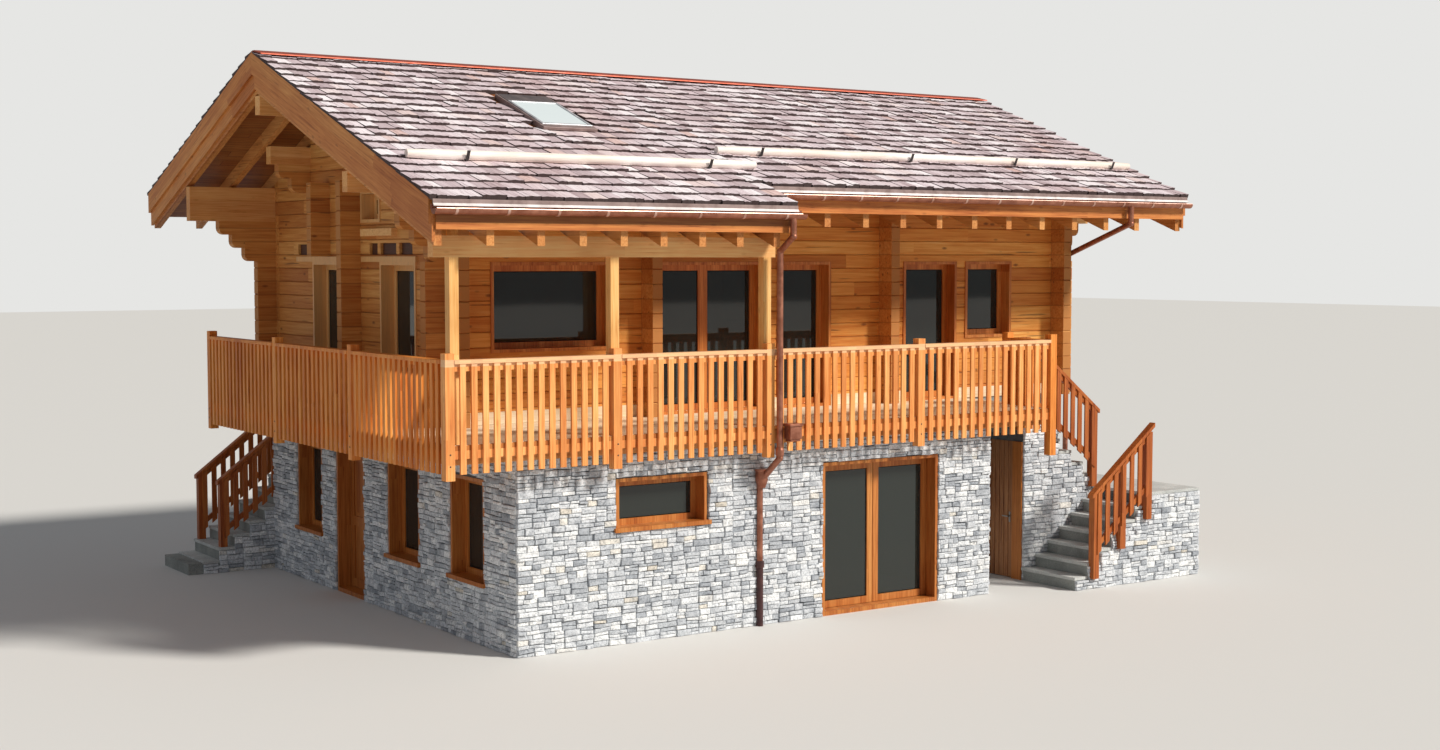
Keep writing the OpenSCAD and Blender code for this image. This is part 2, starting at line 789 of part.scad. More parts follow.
post_z = deck_z - post_down;
slat_z = deck_z - slat_down;
module railing_front() {
  color("chocolate") place() translate([-deck_left, -deck_front, 0]) difference() {
    balustrade(front_posts, [post_z, post_z, post_z, post_z, post_z], 0);
    block(front_posts[4], front_posts[4] + post_w + 1, -20, post_w + 20, 0, ridge_z);
  }
}

// The left corner post belongs to the front balustrade, the right one to the
// short return at its end
module railing_left() {
  color("chocolate") place() translate([-deck_left, deck_rear, 0]) rotate([0, 0, -90])
    difference() {
      balustrade(left_posts, [post_z, post_z, post_z, post_z], 0);
      block(left_len - post_w, left_len + 1, -20, post_w + 20, 0, ridge_z);
    }
}

module railing_right() {
  run = store_y + post_w + deck_front;
  color("chocolate") place() translate([deck_right, -deck_front, 0]) rotate([0, 0, 90])
    balustrade([0, run - post_w], [post_z - 280, deck_z], 0);
}

// A sloping stair balustrade in X and Z: newels plumb, rail and boards
// following the line of the nosings from (x0, z0) with a rise of k per unit
module stair_rail(x0, x1, z0, k, newels, foot, y) {
  h = 1000;
  cap = 60;
  n = floor((x1 - x0)/150);
  p = (x1 - x0)/n;
  along_y(y, y + 45)
    polygon([[x0, z0 + h - 110], [x1, z0 + k*(x1 - x0) + h - 110],
      [x1, z0 + k*(x1 - x0) + h - 20], [x0, z0 + h - 20]]);
  along_y(y, y + 45)
    polygon([[x0, z0 + 130], [x1, z0 + k*(x1 - x0) + 130],
      [x1, z0 + k*(x1 - x0) + 220], [x0, z0 + 220]]);
  along_y(y - 20, y + 90)
    polygon([[x0 - 60, z0 - 60*k + h - 20], [x1 + 60, z0 + k*(x1 + 60 - x0) + h - 20],
      [x1 + 60, z0 + k*(x1 + 60 - x0) + h + cap - 20], [x0 - 60, z0 - 60*k + h + cap - 20]]);
  for (i = [0:n - 1]) {
    a = x0 + i*p + (p - 80)/2;
    along_y(y - 24, y)
      polygon([[a, z0 + k*(a - x0) + 60], [a + 80, z0 + k*(a + 80 - x0) + 60],
        [a + 80, z0 + k*(a + 80 - x0) + h - 28], [a, z0 + k*(a - x0) + h - 28]]);
  }
  for (i = [0:len(newels) - 1]) {
    x = newels[i];
    zt = z0 + k*(x + newel_w/2 - x0) + h - 20;
    block(x, x + newel_w, y - 10, y + newel_w - 10, foot[i], zt);
  }
}

stair_k = riser/tread;
// The outer stair rails stand outside the flights; their newels reach below
// the treads
module railing_lower_stair() {
  x0 = store_x + 300;
  x1 = landing_x - 20;
  z0 = riser + stair_k*(x0 - store_x);
  xm = (x0 + x1)/2 - newel_w/2;
  color("chocolate") place()
    stair_rail(x0, x1, z0, stair_k, [x0 - 20, xm, x1 - newel_w + 20], newel_foot, flight_y - 100);
}
newel_foot = [160, 2*riser + 175, 4*riser + 190];

module railing_upper_stair() {
  x1 = landing_x - 20;
  run = x1 - deck_right - 20;
  color("chocolate") place() translate([x1, 0, 0]) mirror([1, 0, 0])
    stair_rail(20, run, landing_z + riser + 20*stair_k, stair_k, [0, run - newel_w + 10],
      [landing_z, landing_z + 5*riser], store_y - 100);
}

module railing_rear_stair() {
  x0 = rear_stair_x + 310;
  x1 = rear_land_x;
  z0 = riser + stair_k*(x0 - rear_stair_x);
  mid = floor(steps/2);
  color("saddlebrown") place()
    for (y = [rear_stair_y + 30, rear_stair_y + rear_stair_w - 110])
      stair_rail(x0, x1, z0, stair_k,
        [x0 - 25, rear_stair_x + mid*tread + 30, x1 - newel_w - 25],
        [2*riser, (mid + 1)*riser, (steps - 1)*riser], y);
}

// Stairs
// Outline of a flight of n steps from x0 on the ground, filled down to base
module flight_outline(x0, z0, n, base, run_on) {
  polygon(concat(
    [[x0, base]],
    [for (i = [0:n - 1]) each [[x0 + i*tread, z0 + i*riser], [x0 + i*tread, z0 + (i + 1)*riser]]],
    [[x0 + n*tread + run_on, z0 + n*riser], [x0 + n*tread + run_on, base]]
  ));
}

module stair_lower() {
  n = flight_steps - 1;
  color("silver") place() {
    along_y(flight_y, store_y) flight_outline(store_x, 0, n, 0, 0);
  }
}

module stair_landing() {
  color(stone_col) place() {
    block(landing_x, landing_x + landing_l, flight_y, set_back, 0, landing_z);
  }
}

step_t = 100;
store_side_t = 100;
store_top = landing_z + (flight_steps - 2)*riser - step_t;
module stair_upper() {
  n = flight_steps;
  color("silver") place()
    for (i = [1:n - 1]) {
      x1 = landing_x - (i - 1)*tread;
      z = landing_z + i*riser;
      block(x1 - tread, x1, store_y, set_back, z - cap_t, z);
      block(x1 - tread, x1, store_y + store_wall, set_back, z - riser - step_t, z);
    }
}

module store_front_wall() {
  color(stone_col) place() along_y(store_y, store_y + store_wall)
    polygon(concat(
      [[store_x, 0], [landing_x, 0]],
      [for (i = [1:flight_steps - 1]) each [
        [landing_x - (i - 1)*tread, landing_z + i*riser - cap_t],
        [landing_x - i*tread, landing_z + i*riser - cap_t]]]
    ));
}

store_door_y = store_y + 80;
store_door_w = 920;
module store_door_wall() {
  y = store_door_y + store_door_w;
  color(stone_col) place() block(store_x, store_x + store_side_t, y, set_back, 0, ground_head);
}

module stair_rear() {
  y1 = rear_stair_y + rear_stair_w;
  color("silver") place() {
    along_y(rear_stair_y, y1) flight_outline(rear_stair_x, 0, steps, 0, rear_land_l - tread);
    block(rear_stair_x - 240, rear_stair_x, rear_stair_y, y1, 0, riser*0.9);
  }
}

// Frames, glass and doors
frame_set = 180;
// Lining and sash of an opening in a wall along X; f is the outer wall face
module frame_x(o, f, dir, depth) {
  x0 = o[0];
  x1 = o[0] + o[1];
  s = stile_w;
  y0 = min(f - dir*15, f + dir*depth);
  y1 = max(f - dir*15, f + dir*depth);
  ys = f + dir*frame_set;
  ya = min(ys, ys + dir*leaf_t);
  yb = max(ys, ys + dir*leaf_t);
  difference() {
    block(x0, x1, y0, y1, o[2], o[3]);
    block(x0 + lining_t, x1 - lining_t, y0 - 20, y1 + 20, o[2] + lining_t, o[3] - lining_t);
  }
  difference() {
    block(x0 + lining_t, x1 - lining_t, ya, yb, o[2] + lining_t, o[3] - lining_t);
    block(x0 + lining_t + s, x1 - lining_t - s, ya - 20, yb + 20,
      o[2] + lining_t + s, o[3] - lining_t - s);
  }
}

module frame_y(o, f, dir, depth) {
  mirror([1, 0, 0]) rotate([0, 0, 90]) frame_x(o, f, dir, depth);
}

module pane_x(o, f, dir) {
  e = lining_t + stile_w;
  y = f + dir*(frame_set + leaf_t/2);
  block(o[0] + e, o[0] + o[1] - e, y - pane_t/2, y + pane_t/2, o[2] + e, o[3] - e);
}

module pane_y(o, f, dir) {
  mirror([1, 0, 0]) rotate([0, 0, 90]) pane_x(o, f, dir);
}

// Sill board below a window in a wall along X
module sill_x(o, f, dir) {
  a = min(f - dir*70, f);
  block(o[0] - 40, o[0] + o[1] + 40, a, a + 70, o[2] - 10, o[2] + 45);
}

lining_depth = frame_set + leaf_t + 10;
// Lining boards beside a door opening in a wall along X
module door_jamb_x(o, f, dir) {
  y0 = min(f - dir*15, f + dir*lining_depth);
  for (x = [o[0], o[0] + o[1] - lining_t])
    block(x, x + lining_t, y0, y0 + lining_depth + 15, o[2], o[3]);
}

// Lining board over it and the threshold below it
module door_head_x(o, f, dir) {
  y0 = min(f - dir*15, f + dir*lining_depth);
  for (z = [[o[2], ground_t], [o[3] - lining_t, o[3]]])
    block(o[0] + lining_t, o[0] + o[1] - lining_t, y0, y0 + lining_depth + 15, z[0], z[1]);
}

module door_jambs() {
  color(larch) place() {
    door_jamb_x(patio, 0, 1);
    mirror([1, 0, 0]) rotate([0, 0, 90]) door_jamb_x(side_opening, 0, 1);
    block(store_x - 25, store_x, store_y, store_y + store_wall, 0, ground_head);
  }
}

module door_heads() {
  color(larch) place() {
    door_head_x(patio, 0, 1);
    mirror([1, 0, 0]) rotate([0, 0, 90]) door_head_x(side_opening, 0, 1);
  }
}

module ground_frames() {
  color(larch) place() {
    frame_x(front_window, 0, 1, lining_depth);
    sill_x(front_window, 0, 1);
    for (o = side_windows) {
      frame_y(o, 0, 1, lining_depth);
      mirror([1, 0, 0]) rotate([0, 0, 90]) sill_x(o, 0, 1);
    }
  }
}

module ground_glass() {
  color("lightsteelblue") place() {
    pane_x(front_window, 0, 1);
    for (o = side_windows) pane_y(o, 0, 1);
  }
}

// A mullion in the middle of a wide opening
module mullion_x(o, f, dir, w) {
  y = f + dir*frame_set;
  xm = o[0] + o[1]/2;
  block(xm - w/2, xm + w/2, min(y, y + dir*leaf_t), max(y, y + dir*leaf_t),
    o[2] + lining_t, o[3] - lining_t);
}

attic = [attic_y, attic_w, attic_z, attic_z + attic_h];
module upper_frames() {
  color(larch) place() {
    for (o = front_upper) frame_x(o, set_back, 1, lining_depth);
    mullion_x(front_upper[1], set_back, 1, 160);
    for (o = rear_upper) frame_x(o, house_d, -1, lining_depth);
    for (o = concat(gable_left_upper, [attic])) frame_y(o, 0, 1, lining_depth);
    for (o = concat(gable_right_upper, [attic])) frame_y(o, house_w, -1, lining_depth);
    for (o = gable_left_upper)
      block(-30, 0, o[0] - 40, o[0] + o[1] + 600, upper_top, upper_top + 75);
  }
}

module upper_glass() {
  color("lightsteelblue") place() {
    difference() {
      for (o = front_upper) pane_x(o, set_back, 1);
      mullion_x(front_upper[1], set_back, 1, 160);
    }
    for (o = rear_upper) pane_x(o, house_d, -1);
    for (o = concat(gable_left_upper, [attic])) pane_y(o, 0, 1);
    for (o = concat(gable_right_upper, [attic])) pane_y(o, house_w, -1);
  }
}

// The glazed leaves of the patio door
leaf_y = frame_set;
leaf_z0 = ground_t + leaf_gap;
leaf_z1 = ground_head - lining_t - leaf_gap;
leaf_w = (patio_w - 2*lining_t - 2*leaf_gap - meet_gap)/2;
leaf_s = 95;
leaf_x = [patio_x + lining_t + leaf_gap, patio_x + lining_t + leaf_gap + meet_gap + leaf_w];
module leaf_frame(x) {
  difference() {
    block(x, x + leaf_w, leaf_y, leaf_y + leaf_t, leaf_z0, leaf_z1);
    block(x + leaf_s, x + leaf_w - leaf_s, leaf_y - 20, leaf_y + leaf_t + 20,
      leaf_z0 + leaf_s, leaf_z1 - leaf_s);
  }
}

module leaf_pane(x) {
  y = leaf_y + (leaf_t - pane_t)/2;
  block(x + leaf_s, x + leaf_w - leaf_s, y, y + pane_t, leaf_z0 + leaf_s, leaf_z1 - leaf_s);
}

// Three hinges on the face y of a leaf: barrels whose axis lies at x, and
// plates that run from them over the leaf
hinge_l = 100;
hinge_in = 10;
hinge_sunk = 1;
hinge_ends = 180;
module hinges(x, y, dir, into) {
  span = leaf_z1 - leaf_z0 - 2*hinge_ends - hinge_l;
  for (i = [0:2]) {
    z = leaf_z0 + hinge_ends + i*span/2;
    translate([x, y + dir*(hinge_r - hinge_sunk), z]) cylinder(r = hinge_r, h = hinge_l);
    block(min(x, x + into*40), max(x, x + into*40), min(y, y + dir*3), max(y, y + dir*3),
      z + 8, z + hinge_l - 8);
  }
}

// A lever handle on a plate, on the face y, reaching out by dir
module lever(x, y, z, dir, point) {
  a = min(y, y + dir*8);
  block(x - 16, x + 16, a, a + 8, z - 90, z + 70);
  translate([x, y, z]) rotate([-90*dir, 0, 0]) cylinder(r = 9, h = 52);
  b = min(y + dir*40, y + dir*54);
  block(min(x - 9, x + point*120), max(x + 9, x + point*120), b, b + 14, z - 9, z + 9);
}

module patio_leaf_left() {
  color(larch) place() {
    leaf_frame(leaf_x[0]);
    hinges(leaf_x[0] + hinge_in, leaf_y + leaf_t, 1, 1);
    lever(leaf_x[0] + leaf_w - leaf_s/2, leaf_y + leaf_t, 1050, 1, -1);
  }
}

module patio_leaf_right() {
  color(larch) place() {
    leaf_frame(leaf_x[1]);
    hinges(leaf_x[1] + leaf_w - hinge_in, leaf_y + leaf_t, 1, -1);
  }
}

module patio_pane_left() {
  color("lightsteelblue") place() leaf_pane(leaf_x[0]);
}

module patio_pane_right() {
  color("lightsteelblue") place() leaf_pane(leaf_x[1]);
}

module side_door() {
  y0 = side_door_y + lining_t + latch_gap;
  y1 = side_door_y + side_door_w - lining_t - leaf_gap;
  x0 = frame_set;
  x1 = frame_set + leaf_t;
  color(larch) place() {
    difference() {
      block(x0, x1, y0, y1, leaf_z0, leaf_z1);
      for (z = [[leaf_z0 + 130, 980], [1120, leaf_z1 - 130]])
        block(x0 - 20, x0 + 14, y0 + 130, y1 - 130, z[0], z[1]);
    }
    mirror([1, 0, 0]) rotate([0, 0, 90]) {
      lever(y0 + 60, x0, 1050, -1, 1);
      lever(y0 + 60, x1, 1050, 1, 1);
      hinges(y1 - hinge_in, x1, 1, -1);
    }
  }
}

// The boarded door of the store under the upper flight
store_leaf_t = 50;
store_slats = 8;
module store_door() {
  y0 = store_y + store_wall + latch_gap;
  y1 = store_door_y + store_door_w - leaf_gap;
  z0 = 10;
  z1 = ground_head - leaf_gap;
  w = (y1 - y0)/store_slats;
  color("saddlebrown") place() {
    block(store_x + 22, store_x + store_leaf_t, y0, y1, z0, z1);
    for (i = [0:store_slats - 1])
      block(store_x, store_x + 22, y0 + i*w + 6, y0 + (i + 1)*w - 6, z0, z1);
    mirror([1, 0, 0]) rotate([0, 0, 90]) {
      lever(y0 + 60, store_x, 950, -1, 1);
      hinges(y1 - hinge_in, store_x, -1, -1);
    }
  }
}

ground_floor();
front_walls();
side_walls();
rear_wall();
right_walls();
porch_back_wall();
lintels();
upper_floor();
terrace_floor();
log_wall_front();
log_wall_left();
log_wall_right();
log_wall_rear();
log_ends();
corbels();
purlins();
rafters_front();
rafters_rear();
roof_front();
roof_rear();
ridge_cap();
bargeboards_front();
bargeboards_rear();
fascias();
gutters();
downpipes();
snow_guards();
skylight();
veranda_posts();
veranda_beams();
deck();
deck_beams();
railing_front();
railing_left();
railing_right();
railing_upper_stair();
railing_lower_stair();
railing_rear_stair();
stair_lower();
stair_upper();
stair_landing();
store_front_wall();
store_door_wall();
stair_rear();
ground_frames();
ground_glass();
door_jambs();
door_heads();
upper_frames();
upper_glass();
patio_leaf_left();
patio_pane_left();
patio_leaf_right();
patio_pane_right();
side_door();
store_door();
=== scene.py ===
"""Looks of an alpine chalet on its CAD frame.

Split stone, oiled larch, squared logs and split shingles.
"""

import logging
import math
import random
from dataclasses import dataclass
from enum import Enum
from typing import Any, Iterable, Sequence

import bmesh
import bpy
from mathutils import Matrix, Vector


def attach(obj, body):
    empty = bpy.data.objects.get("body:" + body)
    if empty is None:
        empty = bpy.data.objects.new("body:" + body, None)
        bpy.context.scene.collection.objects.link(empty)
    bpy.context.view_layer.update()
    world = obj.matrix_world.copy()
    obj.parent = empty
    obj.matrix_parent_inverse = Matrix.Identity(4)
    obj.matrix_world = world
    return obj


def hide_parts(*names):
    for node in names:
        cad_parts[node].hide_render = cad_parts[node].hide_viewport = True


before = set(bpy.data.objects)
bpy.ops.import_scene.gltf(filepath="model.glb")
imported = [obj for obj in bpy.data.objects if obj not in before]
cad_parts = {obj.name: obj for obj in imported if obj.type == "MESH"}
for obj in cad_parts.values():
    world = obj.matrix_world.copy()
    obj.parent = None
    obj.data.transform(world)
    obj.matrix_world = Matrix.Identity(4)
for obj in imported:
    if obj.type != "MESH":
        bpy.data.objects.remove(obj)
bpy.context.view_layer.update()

LOG = logging.getLogger("chalet")

# Sizes in metres that the pieces share with the CAD model. House frame: zero
# is the front left corner of the masonry, X along the front, Y to the rear.
CENTRE = (5.285, 4.565)
DECK_Z = 2.70
WALL_TOP = 2.50
SET_BACK = 1.90
HOUSE_W = 11.0
HOUSE_D = 8.1
FRONT_W = 7.75
RIDGE = (5.0, 7.74)
PITCH = math.radians(21.0)
LOG_H = 0.205

# Stairs: their steps, where the right flight, its landing and the rear flight
# begin and end along X, and the height of the right landing
RISER = DECK_Z / 14
TREAD = 0.25
SLAB = 0.045
FLIGHT_X = 8.95
LANDING_X = 10.45
REAR_X = (-1.18, 4.67)
LANDING_Z = 7 * RISER

# Width and height below which the rest of a cut stone is left out
LEAST_STONE = (0.03, 0.025)

# Left of this x the upper joinery is of a paler batch
UPPER_SPLIT = 0.36 - CENTRE[0]

Vec = tuple[float, float, float]
Stops = Sequence[tuple[float, str]]
Rect = tuple[float, float, float, float]
Pair = tuple[float, float]
Spot = tuple[Vec, Vec, Vec]

# Settings of a node that mixes two colours
BLEND = {"data_type": "RGBA"}
MULTIPLY = {"data_type": "RGBA", "blend_type": "MULTIPLY"}

# Corners of each face of a box, the four lower corners first
BOX_FACES = ((0, 3, 2, 1), (4, 5, 6, 7), (0, 1, 5, 4), (1, 2, 6, 5), (2, 3, 7, 6), (3, 0, 4, 7))


class Axis(Enum):
    """One of the three directions of the model."""

    X = 0
    Y = 1
    Z = 2


class Facing(Enum):
    """The way that a wall face looks, as a turn about Z in radians."""

    FRONT = 0.0
    LEFT = -math.pi / 2
    RIGHT = math.pi / 2
    REAR = math.pi


def at(x: float, y: float, z: float) -> Vec:
    """Moves a point of the house frame into the frame of the CAD model."""
    return (x - CENTRE[0], y - CENTRE[1], z)


def roof_z(y: float) -> float:
    """Height of the roof surface over a place y of the house frame."""
    return RIDGE[1] - math.tan(PITCH) * abs(y - RIDGE[0])


def on_slope(down: float, lift: float) -> Pair:
    """Gives y and z of a place on the front slope.

    Args:
        down: Way from the ridge down the slope.
        lift: Height square to the roof surface.

    Returns:
        Its y and z in the house frame.
    """
    return (RIDGE[0] - down * math.cos(PITCH) - lift * math.sin(PITCH),
            RIDGE[1] - down * math.sin(PITCH) + lift * math.cos(PITCH))


def circle(radius: float, turns: int) -> list[Pair]:
    """Lists evenly spaced points of a circle about zero."""
    angles = [2 * math.pi * k / turns for k in range(turns)]
    return [(radius * math.cos(angle), radius * math.sin(angle)) for angle in angles]


def linear(code: str) -> tuple[float, float, float, float]:
    """Turns an sRGB hex colour into linear values.

    Args:
        code: Colour as "#rrggbb".

    Returns:
        Linear red, green, blue and an alpha of 1.
    """
    parts = [int(code[i:i + 2], 16) / 255.0 for i in (1, 3, 5)]
    out = [c / 12.92 if c <= 0.04045 else ((c + 0.055) / 1.055) ** 2.4 for c in parts]
    return (out[0], out[1], out[2], 1.0)


def set_inputs(tree: bpy.types.NodeTree, node: bpy.types.Node,
               links: dict[int | str, Any]) -> None:
    """Sets or links inputs of a node.

    Args:
        tree: Tree that holds the node.
        node: Node to feed.
        links: Input name or index, with a value to set, a socket to link, or
            a node whose first output in use is linked.
    """
    for key, value in links.items():
        if isinstance(value, bpy.types.Node):
            value = next(output for output in value.outputs if output.enabled)
        if isinstance(value, bpy.types.NodeSocket):
            tree.links.new(value, node.inputs[key])
        else:
            node.inputs[key].default_value = value


def add_node(tree: bpy.types.NodeTree, kind: str, links: dict[int | str, Any] | None = None,
             **settings: Any) -> bpy.types.Node:
    """Adds a node to a tree.

    Args:
        tree: Shader or geometry node tree.
        kind: Type name of the node; "ShaderNode" before it may be left off.
        links: Its inputs, as set_inputs takes them.
        settings: Attributes to set on the node.

    Returns:
        The new node.
    """
    node = tree.nodes.new(kind if "Node" in kind else "ShaderNode" + kind)
    for key, value in settings.items():
        setattr(node, key, value)
    set_inputs(tree, node, links or {})
    return node


def ramp(tree: bpy.types.NodeTree, value: Any, stops: Stops) -> bpy.types.NodeSocket:
    """Maps a value through colour stops and gives back the colour socket."""
    node = add_node(tree, "ValToRGB", {"Fac": value})
    band = node.color_ramp
    while len(band.elements) > 1:
        band.elements.remove(band.elements[-1])
    band.elements[0].position = stops[0][0]
    band.elements[0].color = linear(stops[0][1])
    for place, code in stops[1:]:
        band.elements.new(place).color = linear(code)
    return node.outputs["Color"]


def stretched(grain: Axis, across: float, along: float) -> Vec:
    """Gives texture scales that draw a pattern out along the grain."""
    return tuple(along if axis is grain else across for axis in Axis)


def board_tone(tree: bpy.types.NodeTree, place: Any, row: bpy.types.Node, run: bpy.types.Node,
               salt: float, reach: float) -> tuple[bpy.types.Node, bpy.types.Node]:
    """Gives every board its own tone and its own part of the grain.

    Args:
        tree: Tree of the material.
        place: Node or socket that gives the place on the house.
        row: Node with the number of the row of boards.
        run: Node with the place along the row, in boards.
        salt: Number that sets this timber's tones apart.
        reach: How far the grain is moved from board to board, in metres.

    Returns:
        Node with the tone, and node with the moved place.
    """
    piece = add_node(tree, "Math", {0: run}, operation="FLOOR")
    key = add_node(tree, "CombineXYZ", {0: row, 1: piece, 2: salt})
    tone = add_node(tree, "TexWhiteNoise", {"Vector": key}, noise_dimensions="3D")
    offset = add_node(tree, "VectorMath", {0: tone.outputs["Color"], "Scale": reach},
                      operation="SCALE")
    return tone, add_node(tree, "VectorMath", {0: place, 1: offset}, operation="ADD")


def knots(tree: bpy.types.NodeTree, place: bpy.types.Node, scales: Vec,
          limits: Pair, depth: float, base: Any, code: str) -> bpy.types.Node:
    """Sets round knots into a colour.

    Args:
        tree: Tree of the material.
        place: Node that gives the place on the board.
        scales: Knots to a metre, in each direction.
        limits: Where a knot is full and where it ends, from its middle.
        depth: How dark the knots are, 0 to 1.
        base: Colour between the knots.
        code: Colour of the knots.

    Returns:
        Node that gives the new colour.
    """
    dots = add_node(tree, "Mapping", {"Vector": place, "Scale": scales})
    cells = add_node(tree, "TexVoronoi", {"Vector": dots, "Scale": 1.0}, feature="F1")
    knot = add_node(tree, "MapRange",
                    {"Value": cells, 1: limits[0], 2: limits[1], 3: depth, 4: 0.0})
    return add_node(tree, "Mix", {0: knot, 6: base, 7: linear(code)}, **BLEND)


def fresh_material(name: str) -> tuple[bpy.types.Material, bpy.types.NodeTree, bpy.types.Node]:
    """Starts a material and gives back it, its tree and its shader node."""
    material = bpy.data.materials.new(name)
    material.use_nodes = True
    tree = material.node_tree
    return material, tree, tree.nodes["Principled BSDF"]


@dataclass(frozen=True)
class Timber:
    """Softwood, planed and oiled: long grain streaks, darker late wood lines,
    a few round knots, and a tone that changes from board to board.

    Attributes:
        name: Plain name of the material.
        pale: Colour of the light early wood.
        warm: Main colour.
        dark: Colour of late wood lines, knots and joints.
        grain: Direction in which the boards run.
        across: Direction in which one board follows the next.
        board: Width of a board in metres, along `across`.
        length: Length of a board in metres, along the grain.
        start: Where the first board begins along `across`.
        tilt: Turn about X that lays the slope of the roof along Y.
        knots: How dark the knots are, 0 to 1.
        rough: Roughness of the oiled surface.
        cap: Heights between which the grain runs level instead, or None.
        cap_tone: Colour that the level part is mixed with; on the fascia it is painted shade.
        side: Place along X left of which a paler batch was used, and its tone.
        vary: How much the boards differ in tone, 0 to 1.
        leaf: Axis and the two faces of a door leaf; what stands out past them
            is its steel lever and hinges.
        joint: Width of a dark line between boards, in metres.
    """

    name: str
    pale: str
    warm: str
    dark: str
    grain: Axis
    across: Axis = Axis.Z
    board: float = 0.2
    length: float = 3.1
    start: float = 0.0
    tilt: float = 0.0
    knots: float = 0.6
    rough: float = 0.5
    cap: Pair | None = None
    cap_tone: str = "#ffffff"
    side: tuple[float, str] | None = None
    vary: float = 0.75
    leaf: tuple[int, float, float] | None = None
    joint: float = 0.0

    def material(self) -> bpy.types.Material:
        """Builds the node material of this timber."""
        material, tree, shader = fresh_material(self.name)
        coords = add_node(tree, "TexCoord")
        place = add_node(tree, "Mapping",
                         {"Vector": coords.outputs["Object"], "Rotation": (self.tilt, 0, 0)})
        axes = add_node(tree, "SeparateXYZ", {0: place})
        across = add_node(tree, "Math", {0: axes.outputs[self.across.value], 1: self.start},
                          operation="SUBTRACT")
        rows = add_node(tree, "Math", {0: across, 1: self.board}, operation="DIVIDE")
        row = add_node(tree, "Math", {0: rows}, operation="FLOOR")
        shift = add_node(tree, "TexWhiteNoise", {"W": row}, noise_dimensions="1D")
        run = add_node(tree, "Math", {0: axes.outputs[self.grain.value], 1: self.length},
                       operation="DIVIDE")
        moved = add_node(tree, "Math", {0: run, 1: shift.outputs["Value"]}, operation="ADD")
        tone, spread = board_tone(tree, place, row, moved, 0.37, 9.0)
        # Early and late wood of planed softwood lie 3 to 6 mm apart; drawn at
        # about 14 mm, because finer lines don't show at this distance
        lines = add_node(tree, "Mapping",
                         {"Vector": spread, "Scale": stretched(self.grain, 42.0, 1.6)})
        grain = add_node(tree, "TexNoise",
                         {"Vector": lines, "Scale": 1.0, "Detail": 4.0, "Roughness": 0.62,
                          "Distortion": 0.4})
        if self.cap:
            flat = add_node(tree, "Mapping",
                            {"Vector": spread, "Scale": stretched(Axis.X, 42.0, 1.6)})
            second = add_node(tree, "TexNoise",
                              {"Vector": flat, "Scale": 1.0, "Detail": 4.0, "Roughness": 0.62})
            above = add_node(tree, "Math",
                             {0: axes.outputs[2], 1: sum(self.cap) / 2,
                              2: (self.cap[1] - self.cap[0]) / 2}, operation="COMPARE")
            streak = add_node(tree, "Mix", {0: above, 2: grain, 3: second}, data_type="FLOAT")
        else:
            streak = grain
        colour = ramp(tree, streak, [(0.22, self.dark), (0.4, self.warm), (0.66, self.pale)])
        # Board tone: larch varies from honey to red brown
        warm_by = ramp(tree, tone.outputs["Value"],
                       [(0.0, "#d9b79a"), (0.5, "#f4e2cd"), (1.0, "#ffffff")])
        warm = add_node(tree, "Mix", {0: self.vary, 6: colour, 7: warm_by}, **MULTIPLY)
        broad = add_node(tree, "TexNoise",
                         {"Vector": place, "Scale": 0.8, "Detail": 3.0, "Roughness": 0.6})
        faded_by = ramp(tree, broad, [(0.3, "#e0cbb6"), (0.6, "#ffffff")])
        faded = add_node(tree, "Mix", {0: 0.6, 6: warm, 7: faded_by}, **MULTIPLY)
        # Knots 20 to 40 mm wide, one or two to a metre of board
        result = knots(tree, spread, stretched(self.grain, 7.0, 3.0), (0.07, 0.17), self.knots,
                       faded, self.dark)
        if self.cap:
            # The band between the cap heights takes cap_tone: paler on the handrail, painted shade
            # under the gutter on the fascia
            cap_share = add_node(tree, "Math", {0: above, 1: 0.55}, operation="MULTIPLY")
            result = add_node(tree, "Mix", {0: cap_share, 6: result, 7: linear(self.cap_tone)},
                              **BLEND)
        if self.side:
            left = add_node(tree, "Math", {0: axes.outputs[0], 1: self.side[0]},
                            operation="LESS_THAN")
            share = add_node(tree, "Math", {0: left, 1: 0.5}, operation="MULTIPLY")
            result = add_node(tree, "Mix", {0: share, 6: result, 7: linear(self.side[1])}, **BLEND)
        bump_height = streak
        if self.joint > 0:
            part = add_node(tree, "Math", {0: rows}, operation="FRACT")
            gap = add_node(tree, "Math", {0: part, 1: self.joint / self.board},
                           operation="LESS_THAN")
            split = add_node(tree, "Math", {0: moved}, operation="FRACT")
            butt = add_node(tree, "Math", {0: split, 1: self.joint / self.length},
                            operation="LESS_THAN")
            either = add_node(tree, "Math", {0: gap, 1: butt}, operation="MAXIMUM")
            result = add_node(tree, "Mix", {0: either, 6: result, 7: linear("#2c1a0e")}, **BLEND)
            drop = add_node(tree, "Math", {0: either, 1: 3.0}, operation="MULTIPLY")
            bump_height = add_node(tree, "Math", {0: streak, 1: drop}, operation="SUBTRACT")
        bump = add_node(tree, "Bump", {"Strength": 0.35, "Distance": 0.004, "Height": bump_height})
        set_inputs(tree, shader, {"Base Color": result, "Normal": bump, "Roughness": self.rough,
                                  "Specular IOR Level": 0.35})
        if self.leaf:
            axis, near_face, far_face = self.leaf
            middle = add_node(tree, "Math", {0: axes.outputs[axis], 1: (near_face + far_face) / 2},
                              operation="SUBTRACT")
            depth = add_node(tree, "Math", {0: middle}, operation="ABSOLUTE")
            steel = add_node(tree, "Math", {0: depth, 1: (far_face - near_face) / 2 + 0.0008},
                             operation="GREATER_THAN")
            brushed = add_node(tree, "TexNoise", {"Vector": place, "Scale": 160.0, "Detail": 2.0})
            metal = ramp(tree, brushed, [(0.3, "#8f8e8b"), (0.7, "#b9b8b4")])
            fitted = add_node(tree, "Mix", {0: steel, 6: result, 7: metal}, **BLEND)
